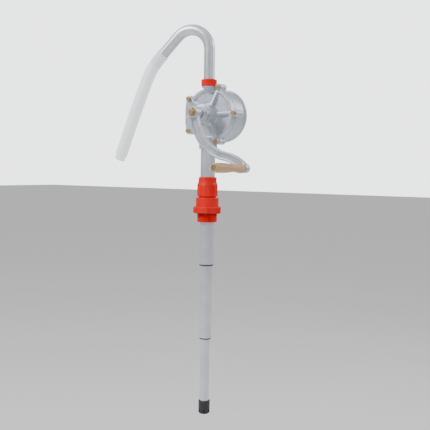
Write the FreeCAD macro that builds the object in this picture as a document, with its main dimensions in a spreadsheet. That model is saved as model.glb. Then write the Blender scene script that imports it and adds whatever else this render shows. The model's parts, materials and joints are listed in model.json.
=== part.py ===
"""Hand-cranked rotary drum pump with a swivelling spout, a delivery hose and a telescopic suction tube.

Millimetres, +Z up.  The origin is on the bung axis, in the plane where the bung gasket rests on a drum head.
The crankshaft lies along Y with the crank at -Y, and the spout reaches towards -X.
"""
import FreeCAD, Part
import math
import os
import re
import Sketcher

SIZES = {
    # bung adapter, clamp nut and the thick column that slides in them
    "gasket_thick": 2, "gasket_rim": 36, "thread_rim": 29.8, "thread_long": 25,
    "relief_rim": 28, "relief_long": 2.5, "thread_lead": 1.5, "collar_soft": 2,
    "flange_flats": 80, "flange_top": 19, "collar_rim": 33.5, "collar_top": 46,
    "neck_rim": 25.5, "neck_top": 84, "free_gap": 0.3,
    "nut_bottom": 49.5, "nut_belly": 31.6, "nut_belly_top": 80, "nut_crown": 26.5, "nut_crown_low": 94,
    "nut_top": 107, "nut_bore": 26, "nut_corner": 31, "nut_mouth": 3.5, "nut_flats": 12,
    "collet_low": 0.2, "collet_grip": 8, "collet_long": 13, "collet_taper": 2.8,
    "column_rim": 21.2, "column_wall": 2.5, "column_low": -150, "column_top": 206,
    # telescopic suction tubes
    "mid_rim": 17.4, "mid_wall": 2.2, "mid_low": -370, "mid_top": 30,
    "lower_rim": 13.9, "lower_wall": 1.9, "lower_low": -585, "lower_top": -195,
    "bush_long": 18, "bush_lip": 4, "ring_long": 12,
    "foot_rim": 17, "foot_low": -600, "foot_top": -560, "foot_wall": 3, "foot_shelf": 1.4,
    "slot_half": 2, "slot_gap": 1.5, "slot_count": 4,
    # pump housing, measured from the crankshaft
    "axis_height": 290, "rim_radius": 77, "split_plane": 24, "recess_radius": 67, "recess_deep": 5,
    "plate_back": 14, "bolt_circle": 84, "lug_radius": 9.5, "seat_radius": 7.7, "box_radius": 27,
    "lug_right": 1, "lug_upper": 68.5, "lug_high": 145.5, "lug_low": 214.5, "lug_lower": 291,
    "box_front": -35, "packing_radius": 16, "packing_back": -8, "bush_radius": 13, "shaft_radius": 9,
    "running_gap": 0.05, "rib_wide": 7, "rib_high": 12,
    "chamber_radius": 60, "chamber_shift": 7, "chamber_back": 88,
    "liner_thick": 0.8, "bowl_radius": 73.5, "bead_radius": 79, "bowl_back": 96, "boss_back": 102,
    "neck_radius": 21, "neck_low": 79.8, "neck_end": 94, "neck_screw": 19.9, "port_radius": 16.3,
    "socket_radius": 26.5, "socket_low": -101, "socket_high": -82,
    "passage_radius": 6, "passage_high": 72.5, "port_floor": 74, "port_shoulder": 79,
    "throat_half": 10, "throat_floor": 50, "land": 4, "clear_half": 40, "clear_high": 110, "clear_deep": 8,
    "web_reach": 82, "web_half": 22, "web_inside": 72, "web_end": 6,
    "rim_soft": 1.5, "neck_foot": 7, "socket_foot": 9,
    "rib_foot": 3, "rib_rise": 4, "rib_back": 6, "rib_proud": 0.5, "seat_reach": 30,
    "lug_thick": 9, "edge_thick": 6, "bead_soft": 5, "bead_wide": 6, "bead_slope": 3, "dish_rim": 13,
    "dish_deep": 3, "dish_slope": 4, "dish_floor": 26, "boss_foot": 20, "boss_radius": 17, "bearing_long": 11,
    "liner_inset": 0.4, "liner_reach": 0.5, "seal_wall": 1.4, "seal_deep": 2.4, "seal_proud": 0.1,
    # rotor and its vanes
    "rotor_radius": 52, "rotor_gap": 0.5, "vane_count": 3, "vane_thick": 6, "slot_floor": 22,
    "vane_root": 30, "vane_tip": 51.8, "vane_slack": 0.1, "vane_ends": 0.2, "key_wide": 5,
    "key_low": 30, "key_high": 62, "crank_key_front": 2, "crank_key_back": 3,
    "spring_wire": 0.5, "spring_coil": 2.2, "spring_turns": 4,
    # fasteners
    "bolt_radius": 4, "hex_flats": 13, "head_high": 5.5, "washer_radius": 7, "washer_thick": 1.8,
    "bolt_reach": 31, "tap_deep": 22, "end_washer_radius": 11, "end_washer_thick": 2.5,
    # packing and gland nut
    "packing_count": 3, "packing_thick": 5, "packing_pitch": 5.2, "gland_inside": 16,
    "gland_lug_half": 4, "gland_lug_reach": 6, "gland_lug_count": 3,
    "gland_back": -35.5, "gland_step": -47, "gland_front": -55, "gland_radius": 24, "gland_nose": 20,
    "gland_bore": 9.4,
    # crank
    "hub_radius": 15.5, "hub_back": -60, "hub_front": -88, "arm_middle": -74,
    "arm_wide": 25, "arm_thick": 16, "arm_rim": 5, "arm_web_front": 3, "arm_web_back": 4,
    "arm_bend": 127, "arm_turn": 79, "arm_sweep": 116, "arm_back_turn": 34,
    "eye_radius": 13, "eye_half": 10, "shaft_front": -86, "shaft_back": 98.5,
    # wooden grip on its spindle, measured along the shaft direction
    "grip_back": -86, "grip_front": -236, "grip_sink": 7, "grip_foot": 9.4, "cup_gap": 1, "cup_lip": 1.2,
    "spindle_radius": 4.5, "spindle_head": 6.5, "head_sunk": 1.5, "head_soft": 0.8, "head_back": 6.7,
    "driver_half": 0.7, "driver_reach": 8, "driver_deep": 1.6, "spindle_tail": 8.5, "spindle_nut_high": 6.5,
    "grip_washer_radius": 9, "grip_washer_low": 0.3, "grip_washer_high": 1.7,
    # spout
    "spout_rim": 16, "spout_wall": 1.5, "spout_low": 80, "bead_rim": 18.4, "bead_low": 94.4,
    "bead_high": 96.6, "cap_radius": 22.9, "cap_low": 80.3, "cap_top": 100, "cap_lip": 97, "cap_round": 3,
    "spout_bend": 60, "spout_rise": 186, "spout_turn": 135, "spout_leg": 67.8, "spout_in_hose": 38,
    "spout_heading": 188,
    # delivery hose and its tip
    "hose_rim": 18, "hose_bore": 16, "tip_rim": 15, "tip_bore": 12.5, "tip_long": 16, "tip_inside": 20,
    "tip_shoulder": 1.6, "tip_inset": 0.6,
    # the small rounds and chamfers on turned corners, and what a cutting tool overshoots by
    "soft": 1, "soft_long": 1.2, "over": 1,
}

LUGS = ("lug_right", "lug_upper", "lug_high", "lug_low", "lug_lower")

# Where the two keys lie along the shaft.
KEYS = {
    "rotor_key": ("key_low", "key_high"),
    "crank_key": ("shaft_front + crank_key_front", "hub_back - crank_key_back"),
}

# The hose's route in the spout's own plane: reach from the spout's axis, and height above the origin.
# It starts at the lip that grips the spout and ends where the tip's shoulder meets it.
HOSE_ROUTE = [(150.3, 470.4), (175.8, 444.9), (195.9, 415.1), (220.6, 358.2), (259.0, 260.6), (293.6, 169.5)]
ARC_SHARE = 0.45

# How far along a vane each of its two springs lies, as a share of the vane's length.
SPRING_PLACES = (0.3, 0.7)

# The wooden grip's outline: the share of its length from the arm, and its radius there.
GRIP_OUTLINE = [(0.00, 10.6), (0.03, 12.6), (0.09, 13.6), (0.16, 12.6), (0.27, 10.4), (0.36, 10.4),
                (0.52, 12.2), (0.70, 13.2), (0.86, 13.1), (0.95, 12.0), (0.99, 10.2)]
NEAR = 1e-3

DOC = FreeCAD.newDocument("drum_pump")
SHEET = DOC.addObject("Spreadsheet::Sheet", "Sizes")
NODES = {}
V = FreeCAD.Vector


# ---------------------------------------------------------------- document helpers
def fill_sheet():
    """Write each driving dimension into the sheet as an alias and a plain number."""
    for row, (alias, number) in enumerate(SIZES.items(), start=1):
        SHEET.set(f"A{row}", alias)
        SHEET.set(f"B{row}", str(number))
        SHEET.setAlias(f"B{row}", alias)
    DOC.recompute()


def bound(words):
    """Turn plain words such as 'rim - wall' into an expression on the sheet."""
    return re.sub(r"[a-z][a-z_]+", lambda m: f"Sizes.{m[0]}" if m[0] in SIZES else m[0], str(words))


def number(words):
    """The value of such words, for a first guess that the sketch solver starts from."""
    result = SHEET.evalExpression(bound(words))
    return float(getattr(result, "Value", result))


def bind(item, prop, words):
    """Bind one property of a document object to the sheet."""
    item.setExpression(prop, bound(words))


def new_body(label, along="0", up="0"):
    """A PartDesign body placed along Y and up Z by expressions."""
    body = DOC.addObject("PartDesign::Body", label)
    body.Label = label
    for prop, words in (("Placement.Base.y", along), ("Placement.Base.z", up)):
        if words is not None:
            bind(body, prop, words)
    NODES[label] = body
    return body


def loose_body(label):
    """A body whose placement is set whole, after its shape."""
    return new_body(label, None, None)


def origin_item(body, role):
    """One of the body's own origin planes or axes."""
    return next(item for item in body.Origin.OriginFeatures if item.Role == role)


def new_sketch(body, role, offset=None):
    """A sketch on an origin plane; offset moves it along the plane's normal."""
    sketch = body.newObject("Sketcher::SketchObject", "Sketch")
    sketch.AttachmentSupport = (origin_item(body, role), [""])
    sketch.MapMode = "FlatFace"
    if offset is not None:
        bind(sketch, "AttachmentOffset.Base.z", offset)
    return sketch


def fix_point(sketch, edge, end, across, up):
    """Dimension one point from the sketch's origin with two bound distances."""
    for kind, words in (("DistanceX", across), ("DistanceY", up)):
        index = sketch.addConstraint(Sketcher.Constraint(kind, -1, 1, edge, end, number(words)))
        bind(sketch, f"Constraints[{index}]", words)


def draw_outline(sketch, points):
    """Draw a closed outline of straight edges, each corner dimensioned from the origin."""
    corners = [V(number(across), number(up), 0) for across, up in points]
    first = sketch.GeometryCount
    count = len(corners)
    for i, corner in enumerate(corners):
        sketch.addGeometry(Part.LineSegment(corner, corners[(i + 1) % count]), False)
    for i, (across, up) in enumerate(points):
        sketch.addConstraint(Sketcher.Constraint("Coincident", first + i, 1, first + (i - 1) % count, 2))
        fix_point(sketch, first + i, 1, across, up)


def draw_circle(sketch, across, up, radius):
    """Draw a circle with a bound centre and radius."""
    circle = Part.Circle(V(number(across), number(up), 0), V(0, 0, 1), number(radius))
    edge = sketch.addGeometry(circle, False)
    fix_point(sketch, edge, 3, across, up)
    index = sketch.addConstraint(Sketcher.Constraint("Radius", edge, number(radius)))
    bind(sketch, f"Constraints[{index}]", radius)


def revolve(body, outline, about="Z", cut=False):
    """Revolve (radius, position) corners about the body's Z or Y axis, adding or cutting."""
    sketch = new_sketch(body, "XZ_Plane" if about == "Z" else "YZ_Plane")
    draw_outline(sketch, outline if about == "Z" else [(place, radius) for radius, place in outline])
    feature = body.newObject("PartDesign::Groove" if cut else "PartDesign::Revolution", "Turned")
    feature.Profile = sketch
    feature.ReferenceAxis = (sketch, ["V_Axis" if about == "Z" else "H_Axis"])
    feature.Angle = 360
    DOC.recompute()
    return feature


def turned(label, outline, about="Z", along="0", up="0"):
    """A body that is one turned shape."""
    body = new_body(label, along, up)
    revolve(body, outline, about)
    return body


def draw_lug_circles(sketch, radius):
    """One circle at each of the housing's bolt places."""
    for turn in LUGS:
        draw_circle(sketch, f"bolt_circle * cos({turn})", f"bolt_circle * sin({turn})", radius)


def draw_web(sketch):
    """The plate that fills the bay between the two left lugs, down to the rim."""
    bay = [("-web_reach", "web_half"), ("-web_reach", "-web_half")]
    for turn, sign in (("lug_low", "-"), ("lug_high", "")):
        across = f"bolt_circle * cos({turn})"
        up = f"bolt_circle * sin({turn})"
        lug = [(f"{across} - lug_radius", up), (f"{across} + web_end", up)]
        bay += lug if sign else [("-web_inside", "0"), *reversed(lug)]
    draw_outline(sketch, bay)


def ring(inner, outer, low, high):
    """The corners of a plain ring."""
    return [(inner, low), (outer, low), (outer, high), (inner, high)]


def extrude(body, sketch, length, cut=False, midplane=False, turned_round=None):
    """Pad or pocket a sketch.

    A sketch on the XZ plane faces the front, so a pad there is turned round to grow towards the back, unless
    turned_round says otherwise.
    """
    volume = body.Shape.Volume if cut else 0
    feature = body.newObject("PartDesign::Pocket" if cut else "PartDesign::Pad", "Straight")
    feature.Profile = sketch
    feature.SideType = "Symmetric" if midplane else "One side"
    feature.Reversed = (not cut and not midplane) if turned_round is None else turned_round
    bind(feature, "Length", length)
    DOC.recompute()
    if cut and body.Shape.Volume >= volume - NEAR:
        raise ValueError(f"a pocket in {body.Label} removes nothing")
    return feature


def oblong(half, low, high):
    """The corners of a rectangle that is centred across and runs between two heights."""
    return [(f"-{half}", low), (half, low), (half, high), (f"-{half}", high)]


def repeat_round(body, features, role, count):
    """Repeat features round one of the body's axes."""
    pattern = body.newObject("PartDesign::PolarPattern", "Round")
    pattern.Originals = features
    pattern.Axis = (origin_item(body, role), [""])
    pattern.Angle = 360
    bind(pattern, "Occurrences", count)
    body.Tip = pattern
    DOC.recompute()
    return pattern


def soften(body, radius, chosen):
    """Fillet the edges of the body's last shape that a test chooses."""
    base = body.Tip
    names = [f"Edge{i}" for i, edge in enumerate(base.Shape.Edges, start=1) if chosen(edge)]
    feature = body.newObject("PartDesign::Fillet", "Soft")
    feature.Base = (base, names)
    bind(feature, "Radius", radius)
    DOC.recompute()
    return feature


def is_circle(edge, radius):
    """Whether an edge is an arc of that radius."""
    return edge.Curve.TypeId == "Part::GeomCircle" and abs(edge.Curve.Radius - radius) < NEAR


def solid_cylinder(name, radius, length, along, across="0", up="0"):
    """A cylinder along +Y from a bound place, for fasteners."""
    item = DOC.addObject("Part::Cylinder", name)
    item.Placement.Rotation = FreeCAD.Rotation(V(1, 0, 0), -90)
    for prop, words in (("Radius", radius), ("Height", length), ("Placement.Base.x", across),
                        ("Placement.Base.y", along), ("Placement.Base.z", up)):
        bind(item, prop, words)
    return item


def hex_prism(name, flats, length, along, across="0", up="0"):
    """A hexagonal prism along +Y from a bound place."""
    item = DOC.addObject("Part::Prism", name)
    item.Polygon = 6
    item.Placement.Rotation = FreeCAD.Rotation(V(1, 0, 0), -90)
    for prop, words in (("Circumradius", f"({flats}) / sqrt(3)"), ("Height", length),
                        ("Placement.Base.x", across), ("Placement.Base.y", along),
                        ("Placement.Base.z", up)):
        bind(item, prop, words)
    return item


def combined(kind, name, base, tool):
    """A Part boolean of two objects."""
    item = DOC.addObject(f"Part::{kind}", name)
    item.Base = base
    item.Tool = tool
    return item


def group(label, members):
    """Separate solids that share one node."""
    item = DOC.addObject("Part::Compound", label)
    item.Label = label
    item.Links = members
    NODES[label] = item
    return item


def free_shape(label, shape, placement=None):
    """A sub-part whose shape is worked out with Part's own functions."""
    item = DOC.addObject("Part::Feature", label)
    item.Label = label
    item.Shape = shape
    item.Placement = placement or FreeCAD.Placement()
    NODES[label] = item
    return item


# ---------------------------------------------------------------- bung adapter
def make_bung_adapter():
    """Red threaded adapter: bung thread, hexagon flange, round collar and a neck for the clamp nut."""
    body = new_body("bung_adapter")
    bore = "column_rim + free_gap"
    revolve(body, [
        (bore, "-thread_long"), ("thread_rim - thread_lead", "-thread_long"),
        ("thread_rim", "thread_lead - thread_long"), ("thread_rim", "-relief_long"),
        ("relief_rim", "-relief_long"), ("relief_rim", "flange_top - over"),
        ("collar_rim", "flange_top - over"),
        ("collar_rim", "collar_top - collar_soft"), ("collar_rim - collar_soft", "collar_top"),
        ("neck_rim", "collar_top"), ("neck_rim", "neck_top - soft"), ("neck_rim - soft", "neck_top"),
        (bore, "neck_top"),
    ])
    sketch = new_sketch(body, "XY_Plane", "gasket_thick")
    corner = "flange_flats / sqrt(3)"
    turns = range(0, 360, 60)
    draw_outline(sketch, [(f"{corner} * cos({a})", f"{corner} * sin({a})") for a in turns])
    extrude(body, sketch, "flange_top - gasket_thick", turned_round=False)
    revolve(body, ring("0", bore, "-thread_long - over", "neck_top + over"), cut=True)
    soften(body, "thread_lead", is_flange_edge)


def is_flange_edge(edge):
    """Whether an edge is one of the straight ones round the top of the flange."""
    level = edge.BoundBox.ZLength < NEAR and abs(edge.BoundBox.ZMin - SIZES["flange_top"]) < NEAR
    return level and edge.Curve.TypeId == "Part::GeomLine"


def make_clamp_parts():
    """The gasket under the flange, the collet ring that grips the column, and the clamp nut round it."""
    turned("bung_gasket", ring("thread_rim + free_gap", "gasket_rim", "0", "gasket_thick"))
    turned("collet_ring", [
        ("column_rim + free_gap", "neck_top + collet_low"), ("neck_rim - soft / 2", "neck_top + collet_low"),
        ("neck_rim - soft / 2", "neck_top + collet_grip"),
        ("neck_rim - collet_taper", "neck_top + collet_long"),
        ("column_rim + free_gap", "neck_top + collet_long"),
    ])
    nut = turned("clamp_nut", [
        ("nut_bore", "nut_bottom"), ("nut_belly - 3 * soft", "nut_bottom"),
        ("nut_belly", "nut_bottom + nut_mouth"), ("nut_belly", "nut_belly_top"),
        ("nut_crown", "nut_crown_low"),
        ("nut_crown", "nut_top - 4 * soft"), ("nut_crown - soft_long", "nut_top - soft_long"),
        ("nut_crown - 4 * soft", "nut_top"), ("column_rim + free_gap", "nut_top"),
        ("column_rim + free_gap", "neck_top + collet_long + soft"),
        ("neck_rim - 2 * soft", "neck_top + collet_long + soft"), ("nut_bore", "neck_top + collet_grip"),
    ])
    sketch = new_sketch(nut, "XY_Plane", "nut_top + over")
    step = 360 // SIZES["nut_flats"]
    turns = range(step // 2, 360 + step // 2, step)
    draw_outline(sketch, [(f"nut_corner * cos({a})", f"nut_corner * sin({a})") for a in turns])
    draw_circle(sketch, "0", "0", "2 * nut_corner")
    extrude(nut, sketch, "nut_top - nut_bottom + 2 * over", cut=True)


# ---------------------------------------------------------------- suction tubes
def make_tube(label, rim, wall, low, high):
    """A plain tube."""
    turned(label, ring(f"{rim} - {wall}", rim, low, high))


def make_end_bush(label, outer_rim, outer_wall, inner_rim, low):
    """A lipped guide bush pressed into the lower end of a tube."""
    inside = f"{outer_rim} - {outer_wall}"
    bore = f"{inner_rim} + free_gap"
    turned(label, [
        (bore, f"{low} - bush_lip"), (f"{outer_rim} - soft", f"{low} - bush_lip"),
        (outer_rim, f"{low} - bush_lip + soft"), (outer_rim, low), (inside, low),
        (inside, f"{low} + bush_long"), (bore, f"{low} + bush_long"),
    ])


def make_stop_ring(label, tube_rim, outer_rim, outer_wall, high):
    """A ring on the top of an inner tube that stops it at the bush below."""
    limit = f"{outer_rim} - {outer_wall} - free_gap"
    turned(label, [
        (tube_rim, f"{high} - ring_long"), (limit, f"{high} - ring_long"), (limit, high), (tube_rim, high),
    ])


def make_foot_strainer():
    """A slotted cup on the bottom of the lower tube."""
    body = turned("foot_strainer", [
        ("0", "foot_low"), ("foot_rim - foot_wall", "foot_low"), ("foot_rim", "foot_low + foot_wall"),
        ("foot_rim", "foot_top - 2 * soft"), ("foot_rim - soft_long", "foot_top"), ("lower_rim", "foot_top"),
        ("lower_rim", "lower_low"), ("lower_rim - foot_shelf", "lower_low"),
        ("lower_rim - foot_shelf", "foot_low + foot_wall"), ("0", "foot_low + foot_wall"),
    ])
    sketch = new_sketch(body, "YZ_Plane")
    low = "foot_low + foot_wall + slot_gap"
    high = "lower_low - 2 * soft"
    draw_outline(sketch, oblong("slot_half", low, high))
    slot = extrude(body, sketch, "2 * (foot_rim + 2 * over)", cut=True, midplane=True)
    repeat_round(body, [slot], "Z_Axis", "slot_count").Angle = 180


def make_suction_tubes():
    """The column and the two tubes that telescope inside it."""
    make_tube("column_tube", "column_rim", "column_wall", "column_low", "column_top")
    make_end_bush("column_end_bush", "column_rim", "column_wall", "mid_rim", "column_low")
    make_tube("mid_suction_tube", "mid_rim", "mid_wall", "mid_low", "mid_top")
    make_stop_ring("mid_stop_ring", "mid_rim", "column_rim", "column_wall", "mid_top")
    make_end_bush("mid_end_bush", "mid_rim", "mid_wall", "lower_rim", "mid_low")
    make_tube("lower_suction_tube", "lower_rim", "lower_wall", "lower_low", "lower_top")
    make_stop_ring("lower_stop_ring", "lower_rim", "mid_rim", "mid_wall", "lower_top")
    make_foot_strainer()


# ---------------------------------------------------------------- pump housing
def make_front_housing():
    """Ported front casting: rim, recessed face, ribs, stuffing box, spout neck and column socket."""
    body = new_body("front_housing", up="axis_height")
    revolve(body, [
        ("bush_radius", "split_plane"), ("rim_radius", "split_plane"), ("rim_radius", "rim_soft"),
        ("rim_radius - rim_soft", "0"), ("recess_radius + soft", "0"), ("recess_radius", "soft"),
        ("recess_radius - 2 * soft", "recess_deep"), ("box_radius + 5 * soft", "recess_deep"),
        ("box_radius + soft_long", "recess_deep - soft - soft_long"),
        ("box_radius", "recess_deep - 7 * soft"), ("box_radius", "box_front + soft"),
        ("box_radius - soft", "box_front"), ("packing_radius", "box_front"),
        ("packing_radius", "packing_back"), ("bush_radius", "packing_back"),
    ], about="Y")
    ears = new_sketch(body, "XZ_Plane")
    draw_lug_circles(ears, "lug_radius")
    extrude(body, ears, "split_plane")
    web = new_sketch(body, "XZ_Plane")
    draw_web(web)
    extrude(body, web, "split_plane")
    for turn in LUGS:
        make_rib(body, turn)
    revolve(body, [
        ("0", "recess_radius - soft"), ("neck_foot", "recess_radius"), ("neck_radius", "neck_low - 2 * soft"),
        ("neck_radius", "neck_low"), ("neck_screw", "neck_low"), ("neck_screw", "neck_end"),
        ("0", "neck_end"),
    ])
    revolve(body, [
        ("0", "soft - recess_radius"), ("socket_foot", "-recess_radius"), ("socket_radius", "socket_high"),
        ("socket_radius", "socket_low + soft"), ("socket_radius - soft", "socket_low"), ("0", "socket_low"),
    ])
    make_front_housing_hollows(body)


def make_rib(body, turn):
    """One rib of the front face, tall at the stuffing box and level with the rim at its outer end."""
    sketch = new_sketch(body, "XY_Plane")
    sketch.AttachmentOffset = FreeCAD.Placement(V(0, 0, 0), FreeCAD.Rotation(V(0, 1, 0), -number(turn)))
    draw_outline(sketch, [
        ("box_radius - rib_foot", "recess_deep + over"),
        ("box_radius - rib_foot", "recess_deep - rib_high - rib_rise"),
        ("box_radius + rib_foot", "recess_deep - rib_high"), ("rim_radius - rib_back", "-rib_proud"),
        ("rim_radius - rib_back", "recess_deep + over"),
    ])
    extrude(body, sketch, "rib_wide", midplane=True)


def make_front_housing_hollows(body):
    """Cut the ports, the passages, the chamber's front end, the flat back and the bolt holes."""
    behind = new_sketch(body, "XZ_Plane", "-split_plane")
    draw_outline(behind, oblong("clear_half", "-clear_high", "clear_high"))
    extrude(body, behind, "clear_deep", cut=True)
    chamber = new_sketch(body, "XZ_Plane", "-plate_back")
    draw_circle(chamber, "chamber_shift", "0", "chamber_radius")
    extrude(body, chamber, "split_plane - plate_back", cut=True)
    revolve(body, [("0", "port_floor"), ("port_radius", "port_shoulder"),
                   ("port_radius", "neck_end + over"), ("0", "neck_end + over")], cut=True)
    revolve(body, [("0", "-port_floor"), ("port_radius", "-port_shoulder"),
                   ("port_radius", "column_top - axis_height"), ("column_rim", "column_top - axis_height"),
                   ("column_rim", "socket_low - over"), ("0", "socket_low - over")], cut=True)
    for side in ("", "-"):
        passage = new_sketch(body, "XZ_Plane", "-(recess_deep + land / 2)")
        draw_circle(passage, "0", f"{side}passage_high", "passage_radius")
        extrude(body, passage, "split_plane - recess_deep - 1.5 * land", cut=True)
        throat = new_sketch(body, "XZ_Plane", "-plate_back")
        draw_outline(throat, oblong("throat_half", f"{side}throat_floor", f"{side}passage_high"))
        extrude(body, throat, "split_plane - plate_back - land", cut=True)
    holes = new_sketch(body, "XZ_Plane")
    draw_lug_circles(holes, "bolt_radius + free_gap")
    extrude(body, holes, "split_plane + over", cut=True)
    seats = new_sketch(body, "XZ_Plane", "seat_reach")
    draw_lug_circles(seats, "seat_radius")
    extrude(body, seats, "seat_reach", cut=True)
    revolve(body, ring("neck_screw", "cap_radius + over / 2", "neck_low", "neck_end + over"), cut=True)


def make_rear_casing():
    """Rear bowl: flange, lugs, drum wall with a rounded bead, dished back and bearing boss."""
    body = new_body("rear_casing", up="axis_height")
    start = "split_plane + liner_thick"
    revolve(body, [
        ("0", start), ("rim_radius", start), ("rim_radius", f"{start} + edge_thick"),
        ("bowl_radius", f"{start} + lug_thick"), ("bowl_radius", "bowl_back - 2 * bead_wide - bead_slope"),
        ("bead_radius", "bowl_back - 2 * bead_wide"), ("bead_radius", "bowl_back - bead_wide"),
        ("bead_radius - bead_wide", "bowl_back"), ("bowl_radius - dish_rim", "bowl_back"),
        ("bowl_radius - dish_rim - dish_slope", "bowl_back - dish_deep"),
        ("dish_floor", "bowl_back - dish_deep"), ("boss_foot", "bowl_back"),
        ("boss_radius + soft", "boss_back - soft"), ("boss_radius", "boss_back"), ("0", "boss_back"),
    ], about="Y")
    soften(body, "bead_soft", is_back_bead)
    lugs = new_sketch(body, "XZ_Plane", f"-({start})")
    draw_lug_circles(lugs, "lug_radius")
    extrude(body, lugs, "lug_thick")
    web = new_sketch(body, "XZ_Plane", f"-({start})")
    draw_web(web)
    extrude(body, web, "lug_thick")
    chamber = new_sketch(body, "XZ_Plane", f"-({start})")
    draw_circle(chamber, "chamber_shift", "0", "chamber_radius")
    extrude(body, chamber, f"chamber_back - ({start})", cut=True)
    bearing = new_sketch(body, "XZ_Plane", "-chamber_back")
    draw_circle(bearing, "0", "0", "bush_radius")
    extrude(body, bearing, "bearing_long", cut=True)
    holes = new_sketch(body, "XZ_Plane", f"-({start})")
    draw_lug_circles(holes, "bolt_radius")
    extrude(body, holes, "bolt_reach - split_plane", cut=True)


def is_back_bead(edge):
    """Whether an edge is the rear one of the bead round the bowl."""
    behind = edge.BoundBox.YMin > SIZES["bowl_back"] - SIZES["bead_wide"] - SIZES["land"] / 2
    return behind and is_circle(edge, SIZES["bead_radius"])


def make_housing_gasket():
    """Thin gasket between the two castings, cut to the rim, the lugs and the chamber."""
    body = new_body("housing_gasket", up="axis_height")
    face = new_sketch(body, "XZ_Plane", "-split_plane")
    draw_circle(face, "0", "0", "rim_radius - liner_inset")
    extrude(body, face, "liner_thick")
    ears = new_sketch(body, "XZ_Plane", "-split_plane")
    draw_lug_circles(ears, "lug_radius - liner_inset")
    extrude(body, ears, "liner_thick")
    web = new_sketch(body, "XZ_Plane", "-split_plane")
    draw_web(web)
    extrude(body, web, "liner_thick")
    inside = new_sketch(body, "XZ_Plane", "-split_plane")
    draw_circle(inside, "chamber_shift", "0", "chamber_radius + liner_reach")
    extrude(body, inside, "liner_thick", cut=True)
    holes = new_sketch(body, "XZ_Plane", "-split_plane")
    draw_lug_circles(holes, "bolt_radius + free_gap")
    extrude(body, holes, "liner_thick", cut=True)


def make_cover_fasteners():
    """The bolts and washers that hold the two castings together, one node each."""
    bolts = []
    washers = []
    for turn in LUGS:
        across = f"bolt_circle * cos({turn})"
        up = f"axis_height + bolt_circle * sin({turn})"
        long = "bolt_reach + washer_thick"
        shank = solid_cylinder("Shank", "bolt_radius", long, "-washer_thick", across, up)
        head = hex_prism("Head", "hex_flats", "head_high", "-washer_thick - head_high", across, up)
        bolts.append(combined("Fuse", "Bolt", head, shank))
        disc = solid_cylinder("Disc", "washer_radius", "washer_thick", "-washer_thick", across, up)
        eye = solid_cylinder("Eye", "bolt_radius", "washer_thick", "-washer_thick", across, up)
        washers.append(combined("Cut", "Washer", disc, eye))
    group("cover_bolts", bolts)
    group("cover_washers", washers)


# ---------------------------------------------------------------- rotor, shaft and gland
def make_shaft():
    """Crankshaft with two keyways and a tapped front end."""
    body = new_body("shaft", up="axis_height")
    revolve(body, [
        ("0", "shaft_front"), ("shaft_radius - soft", "shaft_front"), ("shaft_radius", "shaft_front + soft"),
        ("shaft_radius", "shaft_back - soft"), ("shaft_radius - soft", "shaft_back"), ("0", "shaft_back"),
    ], about="Y")
    for low, high in KEYS.values():
        sketch = new_sketch(body, "XY_Plane", "shaft_radius - key_wide / 2")
        draw_outline(sketch, oblong("key_wide / 2", low, high))
        extrude(body, sketch, "key_wide", cut=True, turned_round=True)
    tap = new_sketch(body, "XZ_Plane", "-(shaft_front)")
    draw_circle(tap, "0", "0", "bolt_radius")
    extrude(body, tap, "tap_deep", cut=True)


def make_keys():
    """The two square keys that lock the rotor and the crank to the shaft."""
    for label, (low, high) in KEYS.items():
        box = DOC.addObject("Part::Box", label)
        box.Label = label
        for prop, words in (("Length", "key_wide"), ("Width", f"({high}) - ({low})"), ("Height", "key_wide"),
                            ("Placement.Base.x", "-key_wide / 2"), ("Placement.Base.y", low),
                            ("Placement.Base.z", "axis_height + shaft_radius - key_wide / 2")):
            bind(box, prop, words)
        NODES[label] = box


def make_rotor():
    """Slotted rotor keyed to the shaft, off centre in the chamber."""
    body = new_body("rotor", up="axis_height")
    low = "plate_back + rotor_gap"
    length = "chamber_back - plate_back - 2 * rotor_gap"
    disc = new_sketch(body, "XZ_Plane", f"-({low})")
    draw_circle(disc, "0", "0", "rotor_radius")
    draw_circle(disc, "0", "0", "shaft_radius")
    extrude(body, disc, length)
    slots = new_sketch(body, "XZ_Plane", f"-({low})")
    half = "(vane_thick + vane_slack) / 2"
    reach = "rotor_radius + 2 * over"
    draw_outline(slots, [("slot_floor", f"-{half}"), (reach, f"-{half}"),
                         (reach, half), ("slot_floor", half)])
    slot = extrude(body, slots, length, cut=True)
    repeat_round(body, [slot], "Y_Axis", "vane_count")
    key = new_sketch(body, "XZ_Plane", f"-({low})")
    draw_outline(key, oblong("key_wide / 2", "0", "shaft_radius + key_wide / 2"))
    extrude(body, key, length, cut=True)


def make_vanes():
    """The vanes, each drawn back into its slot, with a pair of springs behind it."""
    slack = SIZES["vane_slack"]
    low = SIZES["plate_back"] + SIZES["rotor_gap"] + SIZES["vane_ends"]
    high = SIZES["chamber_back"] - SIZES["rotor_gap"] - SIZES["vane_ends"]
    centre = V(0, 0, SIZES["axis_height"])
    springs = []
    for i in range(SIZES["vane_count"]):
        turn = FreeCAD.Placement(centre, FreeCAD.Rotation(V(0, 1, 0), -360 * i / SIZES["vane_count"]))
        vane = Part.makeBox(SIZES["vane_tip"] - SIZES["vane_root"], high - low, SIZES["vane_thick"],
                            V(SIZES["vane_root"], low, -SIZES["vane_thick"] / 2))
        free_shape(f"vane_{i + 1}", vane, turn)
        for place in SPRING_PLACES:
            spring = make_spring(SIZES["slot_floor"] + slack, SIZES["vane_root"] - slack,
                                 low + place * (high - low))
            spring.Placement = turn.multiply(spring.Placement)
            springs.append(spring)
    free_shape("vane_springs", Part.makeCompound(springs))


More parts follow.
